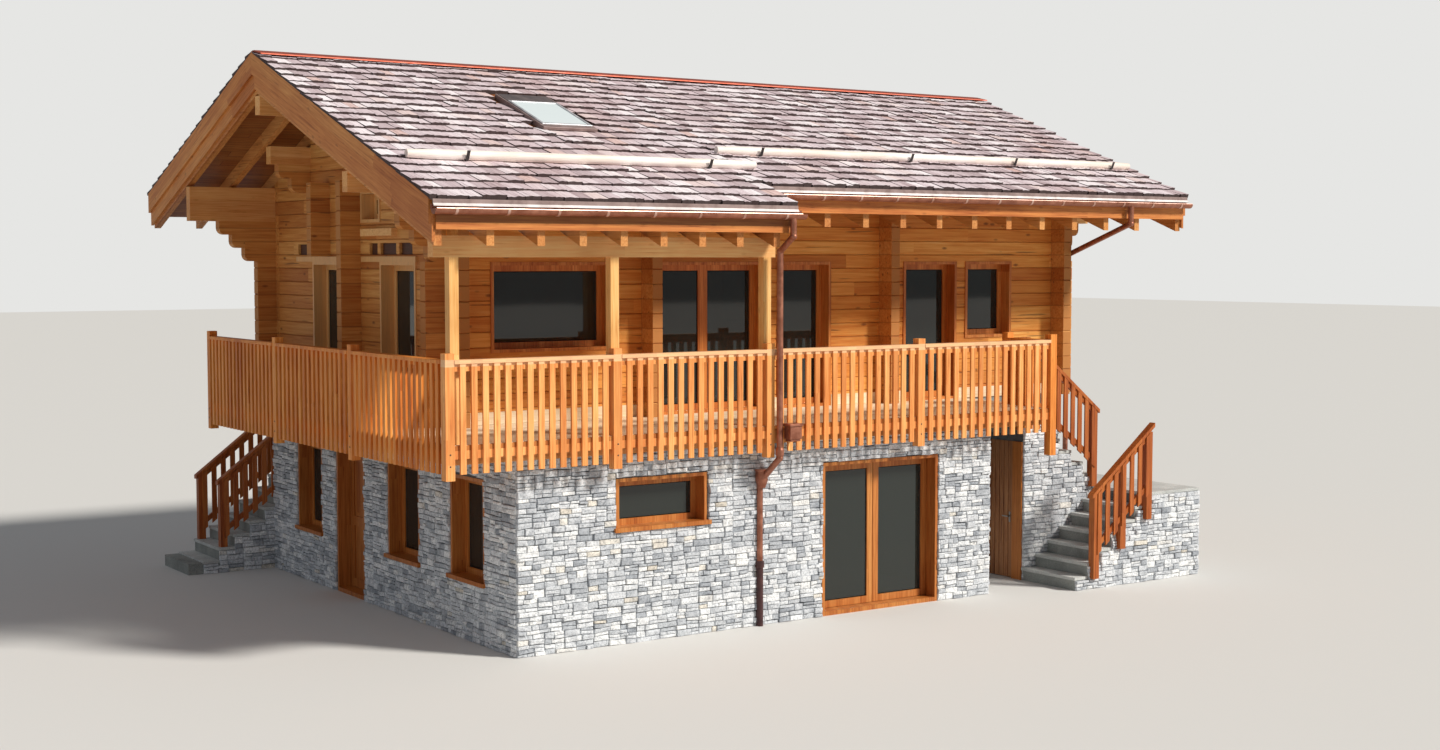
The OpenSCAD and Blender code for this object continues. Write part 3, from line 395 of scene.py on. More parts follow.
            polish = add_node(tree, "MapRange",
                              {"Value": steel, 1: 0.0, 2: 1.0, 3: self.rough, 4: 0.32})
            set_inputs(tree, shader, {"Base Color": fitted, "Metallic": steel, "Roughness": polish})
        return material


@dataclass(frozen=True)
class LogTimber:
    """Squared logs, sawn and left to dry: each course has its own tone, drying
    checks run along it, and the cut ends show yearly rings.

    Attributes:
        name: Plain name of the material.
        grain: Direction in which the logs run.
        ends: True where the piece is made of cut log ends.
        stops: Colours of the grain, dark to pale.
    """

    name: str
    grain: Axis
    ends: bool = False
    stops: Stops = ((0.2, "#b06f35"), (0.4, "#cb8a48"), (0.6, "#dba25c"), (0.78, "#e8b976"))

    def material(self) -> bpy.types.Material:
        """Builds the node material of the logs."""
        material, tree, shader = fresh_material(self.name)
        coords = add_node(tree, "TexCoord")
        axes = add_node(tree, "SeparateXYZ", {0: coords.outputs["Object"]})
        height = add_node(tree, "Math", {0: axes.outputs[2], 1: DECK_Z}, operation="SUBTRACT")
        courses = add_node(tree, "Math", {0: height, 1: LOG_H}, operation="DIVIDE")
        course = add_node(tree, "Math", {0: courses}, operation="FLOOR")
        shift = add_node(tree, "TexWhiteNoise", {"W": course}, noise_dimensions="1D")
        run = add_node(tree, "Math", {0: axes.outputs[self.grain.value], 1: 1 / 4.2,
                                      2: shift.outputs["Value"]}, operation="MULTIPLY_ADD")
        tone, spread = board_tone(tree, coords.outputs["Object"], course, run, 0.5, 7.0)
        # Grain of a sawn log face: bands 10 to 25 mm apart
        lines = add_node(tree, "Mapping",
                         {"Vector": spread, "Scale": stretched(self.grain, 26.0, 1.1)})
        grain = add_node(tree, "TexNoise",
                         {"Vector": lines, "Scale": 1.0, "Detail": 5.0, "Roughness": 0.6,
                          "Distortion": 0.5})
        colour = ramp(tree, grain, self.stops)
        tinted_by = ramp(tree, tone.outputs["Value"],
                         [(0.0, "#c99f79"), (0.45, "#efd9bd"), (1.0, "#ffffff")])
        tinted = add_node(tree, "Mix", {0: 0.8, 6: colour, 7: tinted_by}, **MULTIPLY)
        # Drying checks: thin dark cracks, some tens of centimetres long
        cracks_at = add_node(tree, "Mapping",
                             {"Vector": spread, "Scale": stretched(self.grain, 34.0, 1.7)})
        cracks = add_node(tree, "TexNoise", {"Vector": cracks_at, "Scale": 0.6, "Detail": 1.0})
        check = add_node(tree, "MapRange", {"Value": cracks, 1: 0.25, 2: 0.3, 3: 0.6, 4: 0.0})
        cracked = add_node(tree, "Mix", {0: check, 6: tinted, 7: linear("#4a2a14")}, **BLEND)
        knotted = knots(tree, spread, stretched(self.grain, 5.5, 2.2), (0.06, 0.15), 0.75, cracked,
                        "#6b3a1a")
        # The V joint between two courses is darkened: dust, and painted shade of the groove
        within = add_node(tree, "Math", {0: courses}, operation="FRACT")
        off = add_node(tree, "Math", {0: within, 1: 0.5}, operation="SUBTRACT")
        edge = add_node(tree, "Math", {0: off}, operation="ABSOLUTE")
        dust_and_shade = add_node(tree, "MapRange", {"Value": edge, 1: 0.43, 2: 0.475, 3: 0.0, 4: 0.3})
        result = add_node(tree, "Mix", {0: dust_and_shade, 6: knotted, 7: linear("#6f4420")}, **MULTIPLY)
        if self.ends:
            # Yearly rings about the heart of each course, 8 mm apart as drawn
            local = add_node(tree, "Math", {0: off, 1: LOG_H}, operation="MULTIPLY")
            rings_at = add_node(tree, "CombineXYZ", {0: local, 1: 0.0, 2: 0.0})
            rings = add_node(tree, "TexWave",
                             {"Vector": rings_at, "Scale": 36.0, "Distortion": 2.0, "Detail": 2.0},
                             wave_type="RINGS")
            normal = add_node(tree, "SeparateXYZ", {0: coords.outputs["Normal"]})
            middle = add_node(tree, "Math",
                              {0: axes.outputs[1], 1: (SET_BACK + HOUSE_D) / 2 - CENTRE[1]},
                              operation="SUBTRACT")
            away = add_node(tree, "Math", {0: middle}, operation="ABSOLUTE")
            outside = add_node(tree, "Math", {0: away, 1: (HOUSE_D - SET_BACK) / 2 + 0.005},
                               operation="GREATER_THAN")
            facing = add_node(tree, "Mix",
                              {0: outside, 2: normal.outputs[0], 3: normal.outputs[1]},
                              data_type="FLOAT")
            size = add_node(tree, "Math", {0: facing}, operation="ABSOLUTE")
            cut = add_node(tree, "Math", {0: size, 1: 0.9}, operation="GREATER_THAN")
            end = ramp(tree, rings, [(0.2, "#b87a3f"), (0.8, "#dfae6d")])
            shaded = add_node(tree, "Mix", {0: dust_and_shade, 6: end, 7: linear("#5a3517")}, **MULTIPLY)
            result = add_node(tree, "Mix", {0: cut, 6: result, 7: shaded}, **BLEND)
        bump = add_node(tree, "Bump", {"Strength": 0.5, "Distance": 0.006, "Height": grain})
        set_inputs(tree, shader, {"Base Color": result, "Normal": bump, "Roughness": 0.62,
                                  "Specular IOR Level": 0.3})
        return material


@dataclass(frozen=True)
class SplitStone:
    """Split gneiss facing: each stone has its own grey, with a rough mineral
    speckle and thin pale veins.

    Attributes:
        name: Plain name of the material.
        stops: Colours of the stones, from the darkest to the palest.
    """

    name: str = "split_stone"
    stops: Stops = ((0.0, "#aeb3ba"), (0.2, "#cbcfd4"), (0.5, "#e1e4e8"), (0.8, "#f2f4f6"),
                    (0.97, "#fdfdfc"), (1.0, "#e0d8ca"))

    def material(self) -> bpy.types.Material:
        """Builds the node material, which reads each stone's own tint."""
        material, tree, shader = fresh_material(self.name)
        tint = add_node(tree, "Attribute", attribute_name="tint")
        coords = add_node(tree, "TexCoord")
        # Mineral bands of split gneiss, 8 to 30 mm
        speckle = add_node(tree, "TexNoise",
                           {"Vector": coords.outputs["Object"], "Scale": 38.0, "Detail": 5.0,
                            "Roughness": 0.7})
        cloud = add_node(tree, "TexNoise",
                         {"Vector": coords.outputs["Object"], "Scale": 7.0, "Detail": 3.0,
                          "Roughness": 0.6})
        base = ramp(tree, tint.outputs["Fac"], self.stops)
        spotted_by = ramp(tree, speckle, [(0.3, "#8f9297"), (0.46, "#e6e7e7"), (0.58, "#ffffff")])
        spotted = add_node(tree, "Mix", {0: 0.9, 6: base, 7: spotted_by}, **MULTIPLY)
        clouded_by = ramp(tree, cloud, [(0.3, "#c3c5c9"), (0.55, "#ffffff")])
        clouded = add_node(tree, "Mix", {0: 0.7, 6: spotted, 7: clouded_by}, **MULTIPLY)
        bump = add_node(tree, "Bump", {"Strength": 0.7, "Distance": 0.012, "Height": speckle})
        set_inputs(tree, shader, {"Base Color": clouded, "Normal": bump, "Roughness": 0.85,
                                  "Specular IOR Level": 0.25})
        return material


@dataclass(frozen=True)
class SplitShingle:
    """Split larch shingles after some winters: silver grey with a mauve cast,
    red brown where the weather hasn't reached, and lengthwise splits.

    Attributes:
        name: Plain name of the material.
    """

    name: str = "split_shingle"

    def material(self) -> bpy.types.Material:
        """Builds the node material, which reads each shingle's own tint."""
        material, tree, shader = fresh_material(self.name)
        tint = add_node(tree, "Attribute", attribute_name="tint")
        coords = add_node(tree, "TexCoord")
        # Splitting leaves ribs 8 to 15 mm apart down the slope
        ribs_at = add_node(tree, "Mapping",
                           {"Vector": coords.outputs["Object"], "Scale": (55.0, 3.0, 3.0)})
        ribs = add_node(tree, "TexNoise",
                        {"Vector": ribs_at, "Scale": 1.0, "Detail": 4.0, "Roughness": 0.65})
        patches = add_node(tree, "TexNoise",
                           {"Vector": coords.outputs["Object"], "Scale": 0.55, "Detail": 4.0,
                            "Roughness": 0.6})
        base = ramp(tree, tint.outputs["Fac"],
                    [(0.0, "#bdacb0"), (0.3, "#d5c5ca"), (0.65, "#e5d9de"), (0.9, "#f7f1f4"),
                     (1.0, "#dcc0bb")])
        ribbed_by = ramp(tree, ribs, [(0.28, "#9c8c8c"), (0.44, "#f0eaea"), (0.56, "#ffffff")])
        ribbed = add_node(tree, "Mix", {0: 0.85, 6: base, 7: ribbed_by}, **MULTIPLY)
        red = add_node(tree, "MapRange", {"Value": patches, 1: 0.5, 2: 0.72, 3: 0.0, 4: 0.35})
        browned = add_node(tree, "Mix", {0: red, 6: ribbed, 7: linear("#c58f7c")}, **MULTIPLY)
        # Butts and sides, all faces that don't look up, are painted dark: painted shade for the
        # shadow line under each course
        surface = add_node(tree, "NewGeometry")
        upward = add_node(tree, "SeparateXYZ", {0: surface.outputs["True Normal"]})
        butt = add_node(tree, "MapRange",
                        {"Value": upward.outputs[2], 1: 0.6, 2: 0.85, 3: 0.95, 4: 0.0})
        butt_shaded = add_node(tree, "Mix", {0: butt, 6: browned, 7: linear("#3a2b29")}, **BLEND)
        bump = add_node(tree, "Bump", {"Strength": 0.6, "Distance": 0.006, "Height": ribs})
        set_inputs(tree, shader, {"Base Color": butt_shaded, "Normal": bump, "Roughness": 0.8,
                                  "Specular IOR Level": 0.3})
        return material


@dataclass(frozen=True)
class SheetMetal:
    """Rolled sheet or cast metal out in the weather: a dull sheen, cloudy
    patina, and lighter places where water runs.

    Attributes:
        name: Plain name of the material.
        base: Main colour.
        worn: Colour of the lighter patina.
        metallic: 1 for bare metal, 0 for a painted one.
        rough: Roughness.
    """

    name: str
    base: str
    worn: str
    metallic: float = 0.85
    rough: float = 0.45

    def material(self) -> bpy.types.Material:
        """Builds the node material of the metal."""
        material, tree, shader = fresh_material(self.name)
        coords = add_node(tree, "TexCoord")
        # Patina clouds of a few centimetres
        clouds = add_node(tree, "TexNoise",
                          {"Vector": coords.outputs["Object"], "Scale": 6.0, "Detail": 5.0,
                           "Roughness": 0.65})
        colour = ramp(tree, clouds, [(0.35, self.base), (0.72, self.worn)])
        rough = add_node(tree, "MapRange",
                         {"Value": clouds, 1: 0.3, 2: 0.7, 3: self.rough - 0.1,
                          4: self.rough + 0.15})
        fine = add_node(tree, "TexNoise",
                        {"Vector": coords.outputs["Object"], "Scale": 90.0, "Detail": 2.0})
        bump = add_node(tree, "Bump", {"Strength": 0.12, "Distance": 0.002, "Height": fine})
        set_inputs(tree, shader, {"Base Color": colour, "Roughness": rough, "Normal": bump,
                                  "Metallic": self.metallic})
        return material


@dataclass(frozen=True)
class CastConcrete:
    """Concrete or sawn stone: fine pores, faint water marks, matt.

    Attributes:
        name: Plain name of the material.
        dark: Colour in the pores and marks.
        pale: Main colour.
    """

    name: str
    dark: str
    pale: str

    def material(self) -> bpy.types.Material:
        """Builds the node material of the concrete."""
        material, tree, shader = fresh_material(self.name)
        coords = add_node(tree, "TexCoord")
        marks = add_node(tree, "TexNoise",
                         {"Vector": coords.outputs["Object"], "Scale": 2.5, "Detail": 6.0,
                          "Roughness": 0.65})
        pores = add_node(tree, "TexNoise",
                         {"Vector": coords.outputs["Object"], "Scale": 60.0, "Detail": 3.0,
                          "Roughness": 0.6})
        colour = ramp(tree, marks, [(0.3, self.dark), (0.65, self.pale)])
        speck_by = ramp(tree, pores, [(0.35, "#b4b4b2"), (0.55, "#ffffff")])
        speck = add_node(tree, "Mix", {0: 0.5, 6: colour, 7: speck_by}, **MULTIPLY)
        bump = add_node(tree, "Bump", {"Strength": 0.3, "Distance": 0.003, "Height": pores})
        set_inputs(tree, shader, {"Base Color": speck, "Normal": bump, "Roughness": 0.85})
        return material


@dataclass(frozen=True)
class Glazing:
    """Double glazing: faintly green and mirror smooth. Its tint is painted:
    dark as painted shade of an unlit room behind it, pale as a painted
    reflection of the sky.

    Attributes:
        name: Plain name of the material.
        tint: Colour that the glass takes on.
        clear: Transmission weight.
    """

    name: str
    tint: str
    clear: float = 0.85

    def material(self) -> bpy.types.Material:
        """Builds the material; a faint waviness stands for rolled glass."""
        material, tree, shader = fresh_material(self.name)
        coords = add_node(tree, "TexCoord")
        waves = add_node(tree, "TexNoise",
                         {"Vector": coords.outputs["Object"], "Scale": 1.3, "Detail": 1.0})
        bump = add_node(tree, "Bump", {"Strength": 0.05, "Distance": 0.01, "Height": waves})
        set_inputs(tree, shader, {"Normal": bump, "Base Color": linear(self.tint),
                                  "Roughness": 0.03, "Transmission Weight": self.clear, "IOR": 1.5})
        return material


# Each finish with what it gives the eye. Colours are matched to the
# photograph's lit front and shaded side.

# Front balustrade: pale honey boards, painted as the sunlit copy of the balustrade finish; the
# handrail band paler
LARCH_RAIL = Timber("oiled_larch_rail", "#fdc27a", "#ee9f5a", "#b3672d", Axis.Z, Axis.X, 0.152, 9.0,
                    knots=0.35, cap=(3.63, 3.715), cap_tone="#f3cfa6")
# Side balustrades: the same boards painted a deeper orange, the painted shade copy of the front
# ones
LARCH_RAIL_SIDE = Timber("oiled_larch_side_rail", "#f7ac58", "#e08835", "#a3510f", Axis.Z, Axis.Y,
                         0.152, 9.0, knots=0.35)
# Stair rails: red brown, where the oil has darkened
LARCH_STAIR = Timber("oiled_larch_stair_rail", "#c87a3c", "#ab5f28", "#6c3412", Axis.Z, Axis.X,
                     0.12, 9.0, knots=0.35)
# Ground storey frames: even brown with a faint sheen of oil
LARCH_JOINERY = Timber("oiled_larch_joinery", "#d2904f", "#b57033", "#7c3f17", Axis.Z, Axis.X,
                       0.11, 2.6, knots=0.2, rough=0.42)
# Upper frames: lighter, and palest at the left opening
LARCH_UPPER = Timber("oiled_larch_upper_joinery", "#e39a54", "#c97c3a", "#904c1f", Axis.Z, Axis.X,
                     0.11, 2.6, knots=0.2, rough=0.42, side=(UPPER_SPLIT, "#f0cb8a"))
# Veranda posts: pale yellow with upright grain
SPRUCE_POST = Timber("planed_spruce_posts", "#fbd592", "#efbd74", "#bf8142", Axis.Z, Axis.X, 0.3,
                     9.0, knots=0.45)
# Purlins and deck beams: pale, with grain along the house
SPRUCE_BEAM = Timber("planed_spruce_beams", "#f6c888", "#e9af6a", "#b57838", Axis.X, Axis.Z, 0.2,
                     6.0, knots=0.55)
# Fascias: red brown, with a band painted dark under the gutter, painted shade
SPRUCE_FASCIA = Timber("planed_spruce_fascia", "#dd9450", "#c0743a", "#7e421c", Axis.X, Axis.Z,
                       0.2, 6.0, knots=0.4, cap=(5.31, 5.5), cap_tone="#3c2014")
# Veranda beam: the palest timber, in one long piece; painted paler than the purlins, painted light
# for the light thrown up from the deck
VERANDA_BEAM = Timber("planed_spruce_veranda", "#fedb9c", "#f8c380", "#c98c48", Axis.X, Axis.Z,
                      0.3, 9.0, knots=0.4)
# Rafters: warm tan, each in its own tone
SPRUCE_RAFTER = Timber("planed_spruce_rafters", "#e2a867", "#c98a4b", "#8d5625", Axis.Y, Axis.X,
                       0.55, 6.0, knots=0.5)
# Bargeboards: warm tan, with grain that runs along the slope
BARGE_FRONT = Timber("planed_larch_bargeboard_front", "#e0a05c", "#c98345", "#8f5426", Axis.Y,
                     Axis.Z, 0.3, 5.0, tilt=-PITCH, knots=0.6)
BARGE_REAR = Timber("planed_larch_bargeboard_rear", "#e0a05c", "#c98345", "#8f5426", Axis.Y,
                    Axis.Z, 0.3, 5.0, tilt=PITCH, knots=0.6)
# Soffit: brown boards with dark joints between them
SOFFIT_BOARD = Timber("planed_spruce_soffit", "#b27a42", "#935a2c", "#5f3716", Axis.X, Axis.Y,
                      0.16, 3.4, knots=0.5, joint=0.006)
# Balcony boards: cream larch, painted as pale as they look in full sun, partly painted light
DECK_BOARD = Timber("planed_larch_deck", "#fdf3dd", "#f6e5c4", "#cfb386", Axis.X, Axis.Y, 0.14,
                    3.6, knots=0.3, vary=0.4)
# Glazed leaves: as their frames, with brushed steel levers and hinges
PATIO_LEAF = Timber("oiled_larch_glazed_door", "#d2904f", "#b57033", "#7c3f17", Axis.Z, Axis.X,
                    0.11, 2.6, knots=0.2, rough=0.42, leaf=(1, -4.385, -4.317))
# Side door: a little redder, with brushed steel fittings
SIDE_LEAF = Timber("oiled_larch_entrance_door", "#c88648", "#a9642c", "#723914", Axis.Z, Axis.Y,
                   0.13, 2.6, knots=0.3, rough=0.42, leaf=(0, -5.105, -5.037))
# Store door: dull stained boards with dark late wood
STORE_BOARD = Timber("stained_boards", "#c08a5e", "#9a6642", "#3e2416", Axis.Z, Axis.Y, 0.098, 9.0,
                     knots=0.3, leaf=(0, 3.665, 3.715))
# Snow poles: peeled and bleached nearly white
PALE_LOG = Timber("peeled_log", "#fbf6f2", "#f0e8e2", "#c4b4aa", Axis.X, Axis.Y, 0.4, 6.0,
                  knots=0.2, vary=0.1)
# Dark sheets at the back of the gable pockets: painted shade
POCKET_SHADE = Timber("shaded_joist_pocket", "#5c3520", "#452615", "#2a160c", Axis.Y, Axis.Z, 0.2, 6.0,
                knots=0.2)
# Log walls: honey courses that change in tone; the front wall is painted brighter, painted light
# for the light thrown up from the deck
LOGS_FRONT = LogTimber("squared_logs_front", Axis.X,
                       stops=((0.2, "#cc7a30"), (0.4, "#e79a48"), (0.6, "#f6b560"),
                              (0.78, "#fccb80")))
LOGS_REAR = LogTimber("squared_logs_rear", Axis.X)
LOGS_Y = LogTimber("squared_logs_gable", Axis.Y)
LOG_ENDS = LogTimber("squared_log_ends", Axis.X, ends=True)
# Facing: split stones from dark to pale grey, each in its own tone
STONE = SplitStone()
# Mortar: dark matt grey behind the joints
BEDDING = CastConcrete("mortar_bed", "#55585a", "#6f7274")
# Floors and stair bodies: plain grey with water marks
CONCRETE = CastConcrete("cast_concrete", "#7d817e", "#9da09c")
# Slabs on the steps: pale sawn stone, fine pores; painted a little paler, painted light for the sky
# light on the steps in the house's shade
TREAD_SLAB = CastConcrete("sawn_stone_slab", "#aeb1af", "#d0d2cf")
# Roof: silver and mauve shingles with red brown places
SHINGLE = SplitShingle()
# Gutters and pipes: brown copper with paler clouds
COPPER = SheetMetal("weathered_copper", "#8d5540", "#bb8068", 0.7, 0.42)
# Rims and straps: copper painted paler, a painted highlight where they catch the light
COPPER_HIGHLIGHT = SheetMetal("rubbed_copper", "#b98a76", "#e2c0b2", 0.6, 0.35)
# Ridge: newer sheet, still red
COPPER_RIDGE = SheetMetal("new_copper_ridge", "#8c3a24", "#bd5a3e", 0.45, 0.45)
# Aprons: grey sheet painted dark, painted shade from the shingles above
APRON_SHADE = SheetMetal("zinc_apron", "#7d6864", "#a08c88", 0.35, 0.5)
# Edge below the aprons: a thin line painted bright, a painted highlight where the lip catches the
# light
DRIP_EDGE_HIGHLIGHT = SheetMetal("bright_zinc_edge", "#cfc6c4", "#ece5e3", 0.3, 0.45)
# Foot of the pipe: thick dark red paint
CAST_IRON = SheetMetal("painted_cast_iron", "#3a2023", "#56332f", 0.2, 0.5)
# Bolts and pole holders: dark dots and lines
DARK_STEEL = SheetMetal("dark_steel", "#3c3a3a", "#5a5552", 0.8, 0.45)
# Roof window frame: pale metal with a soft sheen
MILL_SHEET = SheetMetal("mill_aluminium", "#b4b3b6", "#dcdbde", 0.5, 0.4)
# Roof window hood: darker grey sheet
HOOD_SHEET = SheetMetal("grey_sheet_hood", "#5a5050", "#7b6f6e", 0.4, 0.45)
# Gaskets: a thin black line round each pane
RUBBER = SheetMetal("dark_gasket", "#201b18", "#2e2723", 0.0, 0.6)
# Panes: mirror smooth, tinted dark green grey as painted shade of the unlit rooms
WINDOW_GLASS = Glazing("window_glass", "#39403c", 0.55)
# Roof window pane: opaque and pale, a painted reflection of the sky
SKY_PANE_REFLECTION = Glazing("skylight_glass", "#dfeaec", 0.0)


class Pieces:
    """Keeps the materials that are already built, and dresses and lists pieces."""

    def __init__(self) -> None:
        """Starts with no material built."""
        self.built: dict[str, bpy.types.Material] = {}
        self.blanks: dict[str, bpy.types.Object] = {}

    def of(self, finish: Any) -> bpy.types.Material:
        """Gives the material of a finish, building it the first time."""
        if finish.name not in self.built:
            self.built[finish.name] = finish.material()
        return self.built[finish.name]

    def dress(self, finish: Any, *nodes: str) -> None:
        """Gives CAD nodes a finish.

        Args:
            finish: Finish whose material they take.
            nodes: Names of the CAD nodes.
        """
        for name in nodes:
            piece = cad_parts[name]
            for slot in piece.material_slots:
                slot.material = self.of(finish)
            LOG.info("dressed %s in %s", name, finish.name)

    def add(self, name: str, mesh: bpy.types.Mesh, finish: Any, slot: str, body: str = "house",
            replaces: Sequence[str] = ()) -> bpy.types.Object:
        """Adds a finished mesh as a piece of the model.

        Args:
            name: Name of the piece.
            mesh: Its mesh, with its place in its points.
            finish: Finish of all its faces.
            slot: The record's material slot; not used.
            body: Body that it moves with.
            replaces: CAD nodes that it stands for.

        Returns:
            The new object.
        """
        piece = bpy.data.objects.new(name, mesh)
        bpy.context.scene.collection.objects.link(piece)
        mesh.materials.clear()
        mesh.materials.append(self.of(finish))
        if replaces:
            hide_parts(*replaces)
        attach(piece, body)
        LOG.info("piece %s: %d faces", name, len(mesh.polygons))
        return piece

    def blank(self, name: str, points: Sequence[Vec],
              faces: Sequence[Sequence[int]]) -> bpy.types.Object:
        """Makes a small shape that a geometry node tree repeats."""
        if name not in self.blanks:
            mesh = bpy.data.meshes.new(name)
            mesh.from_pydata(points, [], faces)
            self.blanks[name] = bpy.data.objects.new(name, mesh)
        return self.blanks[name]

    def clear_blanks(self) -> None:
        """Removes the small shapes once every tree has run."""
        for shape in self.blanks.values():
            bpy.data.objects.remove(shape)
        self.blanks.clear()


@dataclass
class Laying:
    """Lays copies of a blank on given places by geometry nodes.

    Attributes:
        jitter: Most that a copy turns at random, in radians.
        wobble: Most that a point moves at random, in metres.
        grit: Spatial frequency of that movement.
        seed: Seed of everything random.
    """

    jitter: float = 0.0
    wobble: float = 0.0
    grit: float = 6.0
    seed: int = 3

    def tree(self) -> bpy.types.NodeTree:
        """Builds the tree that puts a sized and aimed copy on each point."""
        tree = bpy.data.node_groups.new("laid_copies", "GeometryNodeTree")
        for name, kind in (("Geometry", "Geometry"), ("Blank", "Object"), ("Jitter", "Float"),
                           ("Wobble", "Float"), ("Grit", "Float"), ("Seed", "Int"),
                           ("Finish", "Material")):
            tree.interface.new_socket(name, in_out="INPUT", socket_type="NodeSocket" + kind)
        tree.interface.new_socket("Geometry", in_out="OUTPUT", socket_type="NodeSocketGeometry")
        given = add_node(tree, "NodeGroupInput").outputs
        shape = add_node(tree, "GeometryNodeObjectInfo", {"Object": given["Blank"]},
                         transform_space="ORIGINAL")
        size = add_node(tree, "GeometryNodeInputNamedAttribute", {"Name": "size"},
                        data_type="FLOAT_VECTOR")
        aim = add_node(tree, "GeometryNodeInputNamedAttribute", {"Name": "aim"},
                       data_type="FLOAT_VECTOR")
        low = add_node(tree, "Math", {0: given["Jitter"], 1: -1.0}, operation="MULTIPLY")
        turn = add_node(tree, "FunctionNodeRandomValue",
                        {0: low, 1: given["Jitter"], "Seed": given["Seed"]},
                        data_type="FLOAT_VECTOR")
        aimed = add_node(tree, "VectorMath", {0: aim, 1: turn}, operation="ADD")
        turned = add_node(tree, "FunctionNodeEulerToRotation", {0: aimed})
        laid = add_node(tree, "GeometryNodeInstanceOnPoints",
                        {"Points": given["Geometry"], "Instance": shape.outputs["Geometry"],
                         "Rotation": turned, "Scale": size})
        other = add_node(tree, "Math", {0: given["Seed"], 1: 11.0}, operation="ADD")
        tint = add_node(tree, "FunctionNodeRandomValue", {"Seed": other}, data_type="FLOAT")
        kept = add_node(tree, "GeometryNodeStoreNamedAttribute",
                        {"Geometry": laid, "Name": "tint", "Value": tint}, data_type="FLOAT",
                        domain="INSTANCE")
        real = add_node(tree, "GeometryNodeRealizeInstances", {"Geometry": kept})
        place = add_node(tree, "GeometryNodeInputPosition")
        noise = add_node(tree, "TexNoise", {"Vector": place, "Scale": given["Grit"], "Detail": 1.0})
        centred = add_node(tree, "VectorMath", {0: noise.outputs["Color"], 1: (0.5, 0.5, 0.5)},
                           operation="SUBTRACT")
        moved = add_node(tree, "VectorMath", {0: centred, "Scale": given["Wobble"]},
                         operation="SCALE")
        bent = add_node(tree, "GeometryNodeSetPosition", {"Geometry": real, "Offset": moved})
        done = add_node(tree, "GeometryNodeSetMaterial",
                        {"Geometry": bent, "Material": given["Finish"]})
        add_node(tree, "NodeGroupOutput", {0: done})
        return tree

    def lay(self, name: str, blank: bpy.types.Object, finish: bpy.types.Material,
            spots: Sequence[Spot]) -> bpy.types.Mesh:
        """Runs the tree over a list of places.

        Args:
            name: Name of the new mesh.
            blank: Shape to repeat, one metre in each direction.
            finish: Material of the copies.
            spots: For each copy its place, its size and its turn.

        Returns:
            A plain mesh of all the copies.
        """
        base = bpy.data.meshes.new(name + "_spots")
        base.from_pydata([s[0] for s in spots], [], [])
        for key, column in (("size", 1), ("aim", 2)):
            layer = base.attributes.new(key, "FLOAT_VECTOR", "POINT")
            layer.data.foreach_set("vector", [v for s in spots for v in s[column]])
        carrier = bpy.data.objects.new(name + "_carrier", base)
        bpy.context.scene.collection.objects.link(carrier)
        modifier = carrier.modifiers.new("lay", "NODES")
        modifier.node_group = self.tree()
        values = {"Blank": blank, "Jitter": self.jitter, "Wobble": self.wobble * 2,
                  "Grit": self.grit, "Seed": self.seed, "Finish": finish}
        for item in modifier.node_group.interface.items_tree:
            if item.item_type == "SOCKET" and item.in_out == "INPUT" and item.name in values:
                modifier[item.identifier] = values[item.name]
        bpy.context.view_layer.update()
        graph = bpy.context.evaluated_depsgraph_get()
        mesh = bpy.data.meshes.new_from_object(carrier.evaluated_get(graph))
        mesh.name = name
        carrier.modifiers.clear()
        bpy.data.objects.remove(carrier)
        return mesh


def to_mesh(work: bmesh.types.BMesh, name: str, bevel: float = 0.0, segments: int = 1,
            outward: bool = False) -> bpy.types.Mesh:
    """Turns a work mesh into a plain one and frees it.

    Args:
        work: The work mesh.
        name: Name of the new mesh.
        bevel: Width of the chamfer on every edge.
        segments: Steps of that chamfer.
        outward: True to turn every face outwards first.

    Returns:
        The new mesh.
    """
    if outward:
        bmesh.ops.recalc_face_normals(work, faces=list(work.faces))
    if bevel > 0:
        bmesh.ops.bevel(work, geom=list(work.edges), offset=bevel, segments=segments,
                        affect="EDGES")
    mesh = bpy.data.meshes.new(name)
    work.to_mesh(mesh)
    work.free()
    return mesh


def add_box(work: bmesh.types.BMesh, points: Iterable[Vec]) -> list[bmesh.types.BMFace]:
    """Adds a box given by its eight corners, the four lower ones first."""
    corners = [work.verts.new(point) for point in points]
    return [work.faces.new([corners[i] for i in face]) for face in BOX_FACES]


def add_rings(work: bmesh.types.BMesh, rings: Iterable[Sequence[Vec]]) -> None:
    """Joins rings of points to one closed body."""
    loops = [[work.verts.new(point) for point in ring] for ring in rings]
    for a, b in zip(loops, loops[1:]):
        for k in range(len(a)):
            j = (k + 1) % len(a)
            work.faces.new([a[k], a[j], b[j], b[k]])
    work.faces.new(list(reversed(loops[0])))
    work.faces.new(loops[-1])


def upright(x0: float, x1: float, y0: float, y1: float, z0: float, z1: float) -> list[Vec]:
    """Lists the corners of an upright box of the house frame."""
    return [at(x, y, z) for z in (z0, z1) for x, y in ((x0, y0), (x1, y0), (x1, y1), (x0, y1))]


def boxes_mesh(name: str, boxes: Iterable[Sequence[float]], bevel: float = 0.0) -> bpy.types.Mesh:
    """Makes one mesh of upright boxes.

    Args:
        name: Name of the mesh.
        boxes: Each x0, x1, y0, y1, z0, z1 in the house frame.
        bevel: Width of the chamfer on every edge.

    Returns:
        The mesh in the frame of the CAD model.
    """
    work = bmesh.new()
    for box in boxes:
        add_box(work, upright(*box))
    return to_mesh(work, name, bevel)


def swept_mesh(name: str, outline: Sequence[Pair], run: Pair) -> bpy.types.Mesh:
    """Carries a closed outline in Y and Z of the house frame along X.

    Args:
        name: Name of the mesh.
        outline: Points in Y and Z, in order.
        run: Its first and last x.

    Returns:
        The mesh in the frame of the CAD model.
    """
    work = bmesh.new()
    add_rings(work, [[at(x, y, z) for y, z in outline] for x in run])
    return to_mesh(work, name, outward=True)


